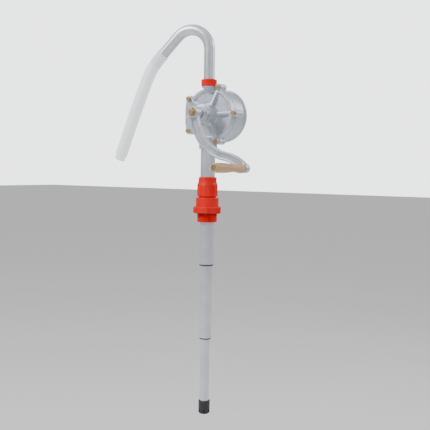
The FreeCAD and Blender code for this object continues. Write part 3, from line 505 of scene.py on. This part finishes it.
class Finishes(Enum):
    """Every finish of the pump, one for each of the record's material slots."""

    CAST = CastAlloy("cast_alloy", (0.66, 0.70, 0.77))
    ROTOR = CastAlloy("rotor_alloy", (0.55, 0.56, 0.58), roughness=0.28, grain=1500.0,
                      grain_depth=0.04 * MM)
    TUBE = DrawnTube("drawn_tube", (0.78, 0.815, 0.87), roughness=0.31, metal=0.7)
    STEEL = DrawnTube("bright_steel", (0.62, 0.62, 0.63), roughness=0.2, metal=1.0)
    RED = MouldedPlastic("red_plastic", (0.86, 0.010, 0.005), roughness=0.36, gloss=0.25)
    BUSH = MouldedPlastic("bush_plastic", (0.035, 0.035, 0.04), roughness=0.42)
    VANE = MouldedPlastic("vane_plastic", (0.07, 0.045, 0.035), roughness=0.4)
    ZINC = Plating("yellow_zinc", (0.66, 0.46, 0.16), film=(0.60, 0.50, 0.30))
    BRONZE = Plating("bronze", (0.60, 0.38, 0.16), film=(0.48, 0.30, 0.13), roughness=0.34)
    RUBBER = BlackRubber("black_rubber", (0.022, 0.022, 0.023))
    SHEET = BlackRubber("gasket_sheet", (0.10, 0.10, 0.095), pits=500.0)
    BEECH = OiledBeech("beech", (0.70, 0.48, 0.27), dark=(0.40, 0.225, 0.10))
    HOSE = ClearedHose("hose_plastic", (0.94, 0.95, 0.97), behind=(0.60, 0.64, 0.73))
    PACKING = BraidedPacking("packing", (0.62, 0.60, 0.54))

    @classmethod
    def of_slot(cls, slot: str) -> "Finishes":
        """Find the finish of a material slot."""
        return next(finish for finish in cls if finish.value.slot == slot)


# ---------------------------------------------------------------- mesh making
@dataclass(frozen=True)
class Corner:
    """A corner of a turned outline, with how far its rounding reaches along each side."""

    radius: float
    height: float
    soft: float = 0.0


RadiusRule = Callable[[float, float, float], float]


def rounded(corners: Sequence[Corner], closed: bool) -> list[tuple[float, float]]:
    """Round the corners of an outline.

    Args:
        corners: The outline's corners, in order.
        closed: Whether the last corner joins the first.

    Returns:
        The outline's (radius, height) points.
    """
    points: list[tuple[float, float]] = []
    last = len(corners) - 1
    for index, corner in enumerate(corners):
        here = Vector((corner.radius, corner.height))
        if corner.soft == 0.0 or (not closed and index in (0, last)):
            points.append((here.x, here.y))
            continue
        before = corners[index - 1]
        after = corners[(index + 1) % len(corners)]
        start = here + (Vector((before.radius, before.height)) - here).normalized() * corner.soft
        end = here + (Vector((after.radius, after.height)) - here).normalized() * corner.soft
        for chord in range(CORNER_CHORDS + 1):
            share = chord / CORNER_CHORDS
            point = start * (1 - share) ** 2 + here * 2 * share * (1 - share) + end * share ** 2
            points.append((point.x, point.y))
    return points


def spin(mesh: bmesh.types.BMesh, outline: Sequence[tuple[float, float]], closed: bool, place: Matrix,
         steps: int, rule: RadiusRule) -> None:
    """Spin an outline about the local Z axis into a mesh.

    Args:
        mesh: The mesh to add to.
        outline: The (radius, height) points, in order; a radius of 0 makes a pole.
        closed: Whether the last point joins the first.
        place: Where the local axes stand in the frame.
        steps: How many columns of faces go round.
        rule: Gives the surface's radius at (radius, angle, height).
    """
    rows: list[list[bmesh.types.BMVert]] = []
    for radius, height in outline:
        count = 1 if radius < POLE else steps
        row = []
        for step in range(count):
            angle = TURN * step / steps
            out = rule(radius, angle, height) if count > 1 else radius
            point = Vector((out * math.cos(angle), out * math.sin(angle), height))
            row.append(mesh.verts.new(place @ point))
        rows.append(row)
    pairs = list(zip(rows, rows[1:])) + ([(rows[-1], rows[0])] if closed else [])
    for low, high in pairs:
        for step in range(steps):
            corners = [low[step % len(low)], low[(step + 1) % len(low)],
                       high[(step + 1) % len(high)], high[step % len(high)]]
            face = list(dict.fromkeys(corners))
            if len(face) > 2:
                mesh.faces.new(face)


def finished(name: str, mesh: bmesh.types.BMesh) -> bpy.types.Object:
    """Turn a built mesh into an object with smooth shading between its creases.

    Args:
        name: The new object's name.
        mesh: The mesh, which is freed.

    Returns:
        The new object, in the scene.
    """
    bmesh.ops.recalc_face_normals(mesh, faces=mesh.faces)
    data = bpy.data.meshes.new(name)
    mesh.to_mesh(data)
    mesh.free()
    data.shade_smooth()
    data.set_sharp_from_angle(angle=CREASE)
    made = bpy.data.objects.new(name, data)
    bpy.context.scene.collection.objects.link(made)
    return made


def turned(name: str, corners: Sequence[Corner], steps: int, rule: RadiusRule) -> bpy.types.Object:
    """Make a turned ring round the column from the corners of its outline.

    Args:
        name: The new object's name.
        corners: The corners of the outline, which is a loop.
        steps: How many columns of faces go round.
        rule: Gives the surface's radius at (radius, angle, height).

    Returns:
        The new object.
    """
    mesh = bmesh.new()
    spin(mesh, rounded(corners, closed=True), True, Matrix.Identity(4), steps, rule)
    return finished(name, mesh)


@dataclass(frozen=True)
class SpoutPlane:
    """The upright plane that the spout and its hose bend in, through the column's axis."""

    heading: float = math.radians(188)
    columns: int = 72

    def point(self, out: float, up: float) -> Point:
        """Turn a distance from the column and a height into a point of the frame."""
        return out * math.cos(self.heading), out * math.sin(self.heading), up

    def swept(self, name: str, line: Sequence[Vector],
              loops: Sequence[tuple[int, float, float]]) -> bpy.types.Object:
        """Sweep a closed set of loops along a line that lies in the plane.

        Args:
            name: The new object's name.
            line: The points of the centreline.
            loops: The loops in order, outside first and then back inside: each is the number of its
                point on the line, how far it's moved along the line there, and its radius.

        Returns:
            The new object.
        """
        side = Vector((-math.sin(self.heading), math.cos(self.heading), 0.0))
        last = len(line) - 1
        mesh = bmesh.new()
        rings = []
        for index, shift, radius in loops:
            ahead = (line[min(index + 1, last)] - line[max(index - 1, 0)]).normalized()
            up = ahead.cross(side)
            middle = line[index] + ahead * shift
            rings.append([
                mesh.verts.new(middle + radius * (side * math.cos(turn) + up * math.sin(turn)))
                for turn in (TURN * step / self.columns for step in range(self.columns))])
        for low, high in zip(rings, rings[1:] + rings[:1]):
            for step in range(self.columns):
                after = (step + 1) % self.columns
                mesh.faces.new((low[step], low[after], high[after], high[step]))
        return finished(name, mesh)


def regular(radius: float, angle: float, sides: int, flats: float, turn: float = 0.0) -> float:
    """Cut a round down to a regular prism.

    Args:
        radius: The round's radius.
        angle: The angle about the axis.
        sides: How many flats there are.
        flats: The distance across the flats.
        turn: The angle of a corner.

    Returns:
        The smaller of the radius and the distance to the flat.
    """
    pitch = TURN / sides
    off = (angle - turn) % pitch - pitch / 2
    return min(radius, flats / 2 / math.cos(off))


def corner_reach(sides: int, flats: float) -> float:
    """Work out how far the corners of a regular prism stand from its axis."""
    return flats / 2 / math.cos(math.pi / sides)


def welded(node: str) -> bmesh.types.BMesh:
    """Copy a CAD node's mesh with the points that touch made one."""
    mesh = bmesh.new()
    mesh.from_mesh(frame["nodes"][node].data)
    bmesh.ops.remove_doubles(mesh, verts=mesh.verts, dist=TOUCHING)
    return mesh


def fit(piece: bpy.types.Object, body: Body, finish: Finishes, *nodes: str) -> None:
    """Dress a new piece, name its slot, put it on its body and hide the nodes that it stands for.

    Args:
        piece: The new piece.
        body: The body that it rides on.
        finish: Its finish.
        nodes: The CAD nodes that it replaces.
    """
    piece.data.materials.clear()
    piece.data.materials.append(finish.value.material())
    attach(piece, body.value)
    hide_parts(*nodes)
    faces = len(piece.data.polygons)
    LOG.info("%s: %d faces on %s in %s", piece.name, faces, body.value, finish.value.slot)


# ---------------------------------------------------------------- sub-assemblies
@dataclass
class BungAdapter:
    """The red adapter with its pipe thread and hexagon flange, and the clamp nut above it."""

    thread_rim: float = 29.8 * MM
    thread_depth: float = 1.48 * MM
    pitch: float = 2.309 * MM
    rows_a_pitch: int = 9
    crest_slope: float = 1.25
    crest_loss: float = 0.12
    thread_low: float = -25.0 * MM
    relief_rim: float = 28.0 * MM
    relief_top: float = -2.5 * MM
    flange_low: float = 2.0 * MM
    flange_top: float = 19.0 * MM
    flange_flats: float = 80.0 * MM
    flange_sides: int = 6
    collar_rim: float = 33.5 * MM
    collar_top: float = 46.0 * MM
    neck_rim: float = 25.5 * MM
    neck_top: float = 84.0 * MM
    bore: float = 21.5 * MM
    nut_flats: float = 59.9 * MM
    nut_sides: int = 12
    nut_mouth: float = 26.0 * MM
    nut_foot: float = 3.2 * MM
    belly_over: float = 0.2 * MM
    belly_low: float = 4.0 * MM
    belly_high: float = 30.5 * MM
    crown_rim: float = 26.5 * MM
    crown_low: float = 44.5 * MM
    column_gap: float = 0.3 * MM
    taper_rim: float = 23.5 * MM
    taper_low: float = 92.0 * MM
    taper_high: float = 98.0 * MM
    near: float = 0.01 * MM
    columns: int = 192

    def thread_radius(self, radius: float, angle: float, height: float) -> float:
        """Cut the thread into the shank and the flats on the flange.

        Args:
            radius: The outline's radius.
            angle: The angle about the column.
            height: The height in the frame.

        Returns:
            The radius of the surface.
        """
        if self.thread_low + 10 * self.near < height < self.relief_top and radius > self.relief_rim:
            wave = abs(2 * ((height / self.pitch - angle / TURN) % 1.0) - 1)
            crest = min(1.0, max(0.0, self.crest_slope * wave - self.crest_loss))
            from_ends = min(height - self.thread_low, self.relief_top - height)
            return radius - self.thread_depth * (1 - crest * min(1.0, max(0.0, from_ends / self.pitch)))
        on_flange = self.flange_low - self.near <= height <= self.flange_top + self.near
        if on_flange and radius > self.collar_rim:
            reach = corner_reach(self.flange_sides, self.flange_flats)
            share = (radius - self.collar_rim) / (reach - self.collar_rim)
            prism = regular(reach, angle, self.flange_sides, self.flange_flats)
            return self.collar_rim + share * (prism - self.collar_rim)
        return radius

    def adapter(self) -> bpy.types.Object:
        """Make the adapter in one piece.

        Returns:
            The new piece.
        """
        reach = corner_reach(self.flange_sides, self.flange_flats)
        long = self.relief_top - self.thread_low
        rows = round(long / self.pitch * self.rows_a_pitch)
        shank = [Corner(self.thread_rim, self.thread_low + long * row / rows) for row in range(1, rows)]
        corners = [
            Corner(self.bore, self.thread_low, 0.6 * MM),
            Corner(self.thread_rim - self.thread_depth, self.thread_low, 0.4 * MM), *shank,
            Corner(self.relief_rim, self.relief_top, 0.3 * MM),
            Corner(self.relief_rim, self.flange_low, 0.3 * MM),
            Corner(reach, self.flange_low, 0.8 * MM), Corner(reach, self.flange_top, 1.6 * MM),
            Corner(self.collar_rim, self.flange_top, 1.2 * MM),
            Corner(self.collar_rim, self.collar_top, 2.2 * MM),
            Corner(self.neck_rim, self.collar_top, 0.6 * MM),
            Corner(self.neck_rim, self.neck_top, 1.0 * MM),
            Corner(self.bore, self.neck_top, 0.6 * MM)]
        return turned("adapter_threaded", corners, self.columns, self.thread_radius)

    def nut_radius(self, radius: float, angle: float, height: float) -> float:
        """Cut the flats on the belly of the clamp nut."""
        return regular(radius, angle, self.nut_sides, self.nut_flats, math.pi / self.nut_sides)

    def clamp_nut(self) -> bpy.types.Object:
        """Make the clamp nut with its belly of flats and its round crown.

        Returns:
            The new piece.
        """
        low, high = (corner.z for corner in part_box("clamp_nut"))
        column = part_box("column_tube")[1].x + self.column_gap
        belly = corner_reach(self.nut_sides, self.nut_flats) + self.belly_over
        corners = [
            Corner(self.nut_mouth, low, 0.4 * MM), Corner(belly - self.nut_foot, low, 1.2 * MM),
            Corner(belly, low + self.belly_low, 2.0 * MM),
            Corner(belly, low + self.belly_high, 4.5 * MM),
            Corner(self.crown_rim, low + self.crown_low, 4.0 * MM),
            Corner(self.crown_rim, high, 3.6 * MM),
            Corner(column, high, 0.5 * MM), Corner(column, self.taper_high),
            Corner(self.taper_rim, self.taper_high), Corner(self.nut_mouth, self.taper_low)]
        return turned("clamp_nut_faceted", corners, self.columns, self.nut_radius)

    def build(self) -> None:
        """Make, dress and place both pieces."""
        fit(self.adapter(), Body.ADAPTER, Finishes.RED, "bung_adapter")
        fit(self.clamp_nut(), Body.CLAMP_NUT, Finishes.RED, "clamp_nut")


@dataclass
class Castings:
    """The pump's castings, with the soft fillets of sand casting."""

    cell: float = 0.62 * MM
    passes: int = 12
    pull: float = 0.5
    faces_kept: float = 0.4
    pieces: tuple[tuple[str, Body], ...] = (
        ("front_housing", Body.PUMP), ("rear_casing", Body.PUMP), ("gland_nut", Body.PUMP),
        ("crank_arm", Body.CRANKSHAFT))

    def softened(self, node: str) -> bpy.types.Object:
        """Copy a CAD casting with its sharp corners melted into small fillets.

        Args:
            node: The CAD node to copy.

        Returns:
            The new piece.
        """
        copy = finished(f"{node}_cast", welded(node))
        remesh = copy.modifiers.new("Cells", "REMESH")
        remesh.mode = "VOXEL"
        remesh.voxel_size = self.cell
        smooth = copy.modifiers.new("Melt", "SMOOTH")
        smooth.factor = self.pull
        smooth.iterations = self.passes
        copy.modifiers.new("Thin", "DECIMATE").ratio = self.faces_kept
        seen = copy.evaluated_get(bpy.context.evaluated_depsgraph_get())
        melted = bpy.data.meshes.new_from_object(seen)
        copy.modifiers.clear()
        copy.data = melted
        melted.shade_smooth()
        return copy

    def build(self) -> None:
        """Melt the corners of each casting, then dress and place it."""
        for node, body in self.pieces:
            fit(self.softened(node), body, Finishes.CAST, node)


@dataclass
class HexBolts:
    """Hexagon heads with chamfered corners and a turned washer face."""

    sides: int = 6
    flats: float = 13.0 * MM
    head: float = 5.5 * MM
    top_inset: float = 0.35 * MM
    chamfer: float = 0.9 * MM
    over: float = 0.3 * MM
    face: float = 0.35 * MM
    face_inset: float = 0.2 * MM
    shank: float = 4.0 * MM
    point: float = 0.8 * MM
    cover_turn: float = 0.37
    crank_turn: float = 0.2
    columns: int = 72

    def head_radius(self, radius: float, angle: float, height: float) -> float:
        """Cut the flats on a head, which is all that's well outside the shank."""
        return regular(radius, angle, self.sides, self.flats) if radius > self.shank + MM else radius

    def add_bolt(self, mesh: bmesh.types.BMesh, seat: Vector, reach: float, turn: float) -> None:
        """Add a bolt whose head stands towards -Y.

        Args:
            mesh: The mesh to add to.
            seat: The middle of the head's seat.
            reach: The shank's length behind the seat.
            turn: How far the head is turned about its axis.
        """
        inner = self.flats / 2
        outer = corner_reach(self.sides, self.flats) + self.over
        corners = [
            Corner(0.0, self.head), Corner(inner - self.top_inset, self.head, 0.5 * MM),
            Corner(outer, self.head - self.chamfer), Corner(outer, self.face),
            Corner(inner, self.face), Corner(inner - self.face_inset, 0.0), Corner(self.shank, 0.0),
            Corner(self.shank, -reach + self.point), Corner(self.shank - self.point, -reach),
            Corner(0.0, -reach)]
        towards_crank = Matrix.Rotation(math.pi / 2, 4, "X")
        place = Matrix.Translation(seat) @ towards_crank @ Matrix.Rotation(turn, 4, "Z")
        spin(mesh, rounded(corners, closed=False), False, place, self.columns, self.head_radius)

    def cover_bolts(self) -> bpy.types.Object:
        """Make the bolts round the housing on the axes of their CAD solids.

        Returns:
            The new piece, one mesh of separate bolts.
        """
        mesh = bmesh.new()
        low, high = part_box("cover_bolts")
        for number, (across, up) in enumerate(solid_middles("cover_bolts")):
            seat = Vector((across, low.y + self.head, up))
            self.add_bolt(mesh, seat, high.y - low.y - self.head, self.cover_turn * number)
        return finished("cover_bolts_chamfered", mesh)

    def crank_bolt(self) -> bpy.types.Object:
        """Make the bolt that holds the crank on its shaft.

        Returns:
            The new piece.
        """
        mesh = bmesh.new()
        low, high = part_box("crank_bolt")
        seat = Vector(((low.x + high.x) / 2, low.y + self.head, (low.z + high.z) / 2))
        self.add_bolt(mesh, seat, high.y - low.y - self.head, self.crank_turn)
        return finished("crank_bolt_chamfered", mesh)

    def build(self) -> None:
        """Make, dress and place the bolts."""
        fit(self.cover_bolts(), Body.PUMP, Finishes.ZINC, "cover_bolts")
        fit(self.crank_bolt(), Body.CRANKSHAFT, Finishes.ZINC, "crank_bolt")


def solid_middles(node: str) -> list[tuple[float, float]]:
    """Find the middles of a CAD node's separate solids, seen along Y.

    Args:
        node: The CAD node.

    Returns:
        The (x, z) middle of each solid.
    """
    mesh = welded(node)
    left = set(mesh.verts)
    middles = []
    while left:
        reached = [left.pop()]
        for vert in reached:
            for edge in vert.link_edges:
                other = edge.other_vert(vert)
                if other in left:
                    left.remove(other)
                    reached.append(other)
        across = [vert.co.x for vert in reached]
        up = [vert.co.z for vert in reached]
        middles.append(((min(across) + max(across)) / 2, (min(up) + max(up)) / 2))
    mesh.free()
    return sorted(middles)


@dataclass
class SpoutCollar:
    """The red screwed collar that holds the spout, ribbed for the hand."""

    ribs: int = 36
    rib_depth: float = 0.45 * MM
    rib_foot: float = 2.4 * MM
    rib_head: float = 3.0 * MM
    rounding: float = 0.3 * MM
    screw: float = 20.2 * MM
    roof: float = 3.0 * MM
    rows: int = 24
    columns: int = 288
    low: Vector = field(default_factory=lambda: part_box("spout_collar")[0])
    high: Vector = field(default_factory=lambda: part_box("spout_collar")[1])

    def ribbed(self, radius: float, angle: float, height: float) -> float:
        """Press shallow grooves into the collar's outside."""
        inside = min(height - self.low.z - self.rib_foot, self.high.z - self.rib_head - height)
        if radius < self.high.x - self.rounding or inside < 0:
            return radius
        groove = max(0.0, math.cos(self.ribs * angle)) ** 3
        return radius - self.rib_depth * groove * min(1.0, inside / MM)

    def build(self) -> None:
        """Make, dress and place the collar."""
        low, high, rim = self.low.z, self.high.z, self.high.x
        # The mouth is as wide as the widest part of the spout, its bead.
        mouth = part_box("spout_tube")[1].y
        outside = [Corner(rim, low + row * (high - low) / self.rows) for row in range(2, self.rows - 3)]
        corners = [
            Corner(self.screw, low, 0.4 * MM), Corner(rim, low, 1.0 * MM), *outside,
            Corner(rim, high, 2.6 * MM), Corner(mouth, high, 0.6 * MM),
            Corner(mouth, high - self.roof), Corner(self.screw, high - self.roof)]
        fit(turned("spout_collar_ribbed", corners, self.columns, self.ribbed),
            Body.COLLAR, Finishes.RED, "spout_collar")


@dataclass
class SpoutPipe:
    """The bent spout, with the bead under its collar and a softened end inside the hose."""

    plane: SpoutPlane = SpoutPlane()
    rim: float = 16.0 * MM
    wall: float = 1.5 * MM
    foot: float = 370.0 * MM
    bead_low: float = 384.4 * MM
    bead_high: float = 386.6 * MM
    bead_rim: float = 18.4 * MM
    rise: float = 476.0 * MM
    bend: float = 60.0 * MM
    turn: float = math.radians(135.0)
    leg: float = 105.8 * MM
    soft: float = 0.4 * MM
    chords: int = 60

    def line(self) -> list[Vector]:
        """Work out the points of the centreline.

        Returns:
            The foot, both ends of the bead, the bend's points and the end of the leg.
        """
        flat = [(0.0, self.foot), (0.0, self.bead_low), (0.0, self.bead_high)]
        for chord in range(self.chords + 1):
            angle = self.turn * chord / self.chords
            flat.append((self.bend * (1 - math.cos(angle)), self.rise + self.bend * math.sin(angle)))
        out, up = flat[-1]
        flat.append((out + self.leg * math.sin(self.turn), up + self.leg * math.cos(self.turn)))
        return [Vector(self.plane.point(out, up)) for out, up in flat]

    def build(self) -> None:
        """Make, dress and place the spout."""
        line = self.line()
        last = len(line) - 1
        rim, bead, soft = self.rim, self.bead_rim, self.soft
        outside = [
            (0, 0.0, rim - soft), (0, soft, rim), (1, -soft, rim), (1, 0.0, bead - soft),
            (1, soft, bead), (2, -soft, bead), (2, 0.0, bead - soft), (2, soft, rim),
            *((index, 0.0, rim) for index in range(3, last)), (last, -soft, rim), (last, 0.0, rim - soft)]
        inside = [(index, 0.0, rim - self.wall) for index in range(last, -1, -1)]
        pipe = self.plane.swept("spout_pipe", line, outside + inside)
        fit(pipe, Body.SPOUT, Finishes.TUBE, "spout_tube")


@dataclass
class DeliveryHose:
    """The milky hose pushed over the spout, following the curve of its own route."""

    plane: SpoutPlane = SpoutPlane()
    route: tuple[tuple[float, float], ...] = (
        (0.1503, 0.4704), (0.1758, 0.4449), (0.1959, 0.4151),
        (0.2206, 0.3582), (0.2590, 0.2606), (0.2936, 0.1695))
    diameter: float = 0.036
    wall: float = 0.002
    length: float = 0.336
    soft: float = 0.5 * MM
    order: int = 3
    chords: int = 16

    def line(self) -> list[Vector]:
        """Read the points along the route's smooth curve.

        Returns:
            The points of the curve, from the spout to the tip.
        """
        curve = bpy.data.curves.new("hose_route", "CURVE")
        curve.dimensions = "3D"
        curve.resolution_u = self.chords
        spline = curve.splines.new("NURBS")
        spline.points.add(len(self.route) - 1)
        for knot, (out, up) in zip(spline.points, self.route):
            knot.co = (*self.plane.point(out, up), 1.0)
        spline.order_u = self.order
        spline.use_endpoint_u = True
        guide = bpy.data.objects.new("hose_route", curve)
        drawn = bpy.data.meshes.new_from_object(guide)
        points = [vert.co.copy() for vert in drawn.vertices]
        bpy.data.objects.remove(guide)
        bpy.data.curves.remove(curve)
        bpy.data.meshes.remove(drawn)
        return points

    def tube(self, line: Sequence[Vector]) -> bpy.types.Object:
        """Sweep the hose's wall along a line, with rounded lips at both ends.

        Args:
            line: The points of its centreline.

        Returns:
            The new piece.
        """
        outer, inner, soft = self.diameter / 2, self.diameter / 2 - self.wall, self.soft
        last = len(line) - 1
        outside = [
            (0, 0.0, outer - soft), (0, soft, outer), *((index, 0.0, outer) for index in range(1, last)),
            (last, -soft, outer), (last, 0.0, outer - soft)]
        inside = [
            (last, 0.0, inner + soft), (last, -soft, inner),
            *((index, 0.0, inner) for index in range(last - 1, 0, -1)),
            (0, soft, inner), (0, 0.0, inner + soft)]
        return self.plane.swept("delivery_hose_tube", line, outside + inside)

    def build(self) -> None:
        line = self.line()
        hose = self.tube(line)
        fit(hose, Body.SPOUT, Finishes.HOSE, "delivery_hose")
        self.plane.point(*self.route[0])


# ---------------------------------------------------------------- studio
@dataclass(frozen=True)
class Lamp:
    """A square soft light, with its side in metres and its power in watts."""

    name: str
    place: Point
    side: float
    power: float


@dataclass
class Studio:
    """A pale floor, soft lights and the camera."""

    azimuth: float = math.radians(31.0)
    distance: float = 2.0
    aside: float = 0.0234
    height: float = 0.128
    pitch: float = math.radians(3.79)
    roll: float = math.radians(0.95)
    lens: float = 56.93
    sensor: float = 36.0
    lamps: tuple[Lamp, ...] = (
        Lamp("key", (-1.1, -1.9, 2.0), 0.8, 62.0), Lamp("fill", (2.2, -0.9, 1.2), 1.2, 5.0),
        Lamp("rim", (1.5, 1.6, 1.3), 0.8, 22.0))
    lit: Point = (0.0, 0.0, 0.2)
    floor: float = -0.965
    floor_half: float = 30.0
    floor_tints: tuple[Colour, Colour] = ((0.86, 0.86, 0.86), (0.89, 0.89, 0.89))
    ceiling: tuple[tuple[float, Colour], ...] = (
        (0.1, (0.12, 0.12, 0.12)), (0.8, (0.85, 0.85, 0.85)))
    backdrop: Colour = (0.96, 0.98, 1.0)
    backdrop_strength: float = 3.2

    def camera(self) -> None:
        """Place the camera on the crank's side of the pump."""
        data = bpy.data.cameras.new("camera")
        data.lens = self.lens
        data.sensor_width = self.sensor
        eye = bpy.data.objects.new("camera", data)
        out = Vector((math.sin(self.azimuth), -math.cos(self.azimuth), 0.0))
        right = Vector((math.cos(self.azimuth), math.sin(self.azimuth), 0.0))
        eye.location = out * self.distance + right * self.aside + Vector((0.0, 0.0, self.height))
        level = Matrix.Rotation(self.azimuth, 4, "Z") @ Matrix.Rotation(math.pi / 2 - self.pitch, 4, "X")
        eye.rotation_euler = (level @ Matrix.Rotation(self.roll, 4, "Z")).to_euler()
        bpy.context.scene.collection.objects.link(eye)
        bpy.context.scene.camera = eye

    def hang(self, lamp: Lamp) -> None:
        """Add a light that faces the pump's head."""
        data = bpy.data.lights.new(lamp.name, "AREA")
        data.energy = lamp.power
        data.size = lamp.side
        hung = bpy.data.objects.new(lamp.name, data)
        hung.location = lamp.place
        aim = Vector(self.lit) - Vector(lamp.place)
        hung.rotation_euler = aim.to_track_quat("-Z", "Y").to_euler()
        bpy.context.scene.collection.objects.link(hung)

    def ground(self) -> None:
        """Lay the pale floor that the foot stands over."""
        mesh = bmesh.new()
        level = Matrix.Translation((0.0, 0.0, self.floor))
        bmesh.ops.create_grid(mesh, x_segments=8, y_segments=8, size=self.floor_half, matrix=level)
        floor = finished("studio_floor", mesh)
        bench = Bench("studio_floor")
        worn = bench.noise(3.0, 2.0)
        bench.dress(Base_Color=bench.blend(worn, *self.floor_tints), Roughness=worn * 0.1 + 0.8)
        floor.data.materials.append(bench.material)

    def sky(self) -> None:
        """Light the studio from a bright ceiling and darker walls, against a pale backdrop."""
        world = bpy.data.worlds.new("studio_sky")
        world.use_nodes = True
        world.node_tree.nodes.remove(world.node_tree.nodes["Background"])
        sky = NodeTree(world.node_tree)
        around = sky.node("ShaderNodeTexCoord", {}, {}, "Generated")
        height = sky.node("ShaderNodeSeparateXYZ", {}, {"Vector": around}, "Z")
        shades = sky.node("ShaderNodeValToRGB", {"stops": self.ceiling}, {"Fac": height}, "Color")
        walls = sky.node("ShaderNodeBackground", {}, {"Color": shades})
        backdrop = sky.node("ShaderNodeBackground", {}, {
            "Color": self.backdrop, "Strength": self.backdrop_strength})
        camera = sky.node("ShaderNodeLightPath", {}, {}, "Is Camera Ray")
        seen = sky.node("ShaderNodeMixShader", {}, {0: camera, 1: walls, 2: backdrop})
        sky.join(world.node_tree.nodes["World Output"].inputs["Surface"], seen)
        bpy.context.scene.world = world

    def build(self) -> None:
        """Set up the floor, the lights, the sky and the camera."""
        self.ground()
        for lamp in self.lamps:
            self.hang(lamp)
        self.sky()
        self.camera()


def dress_frame() -> None:
    """Give every CAD node the finish of its slot in the record."""
    slots = {part["node"]: part["material_slot"] for part in frame["record"]["subparts"]}
    for name, node in frame["nodes"].items():
        material = Finishes.of_slot(slots[name]).value.material()
        if not node.material_slots:
            node.data.materials.append(material)
        for slot in node.material_slots:
            slot.link = "OBJECT"
            slot.material = material


def main() -> None:
    """Dress the frame and build every detailed piece on it."""
    logging.basicConfig(level=logging.INFO, format="%(name)s: %(message)s")
    dress_frame()
    Studio().build()
    for assembly in (SpoutPipe(), DeliveryHose(), BungAdapter(), SpoutCollar(), HexBolts(), Castings()):
        assembly.build()


if __name__ == "__main__":
    main()
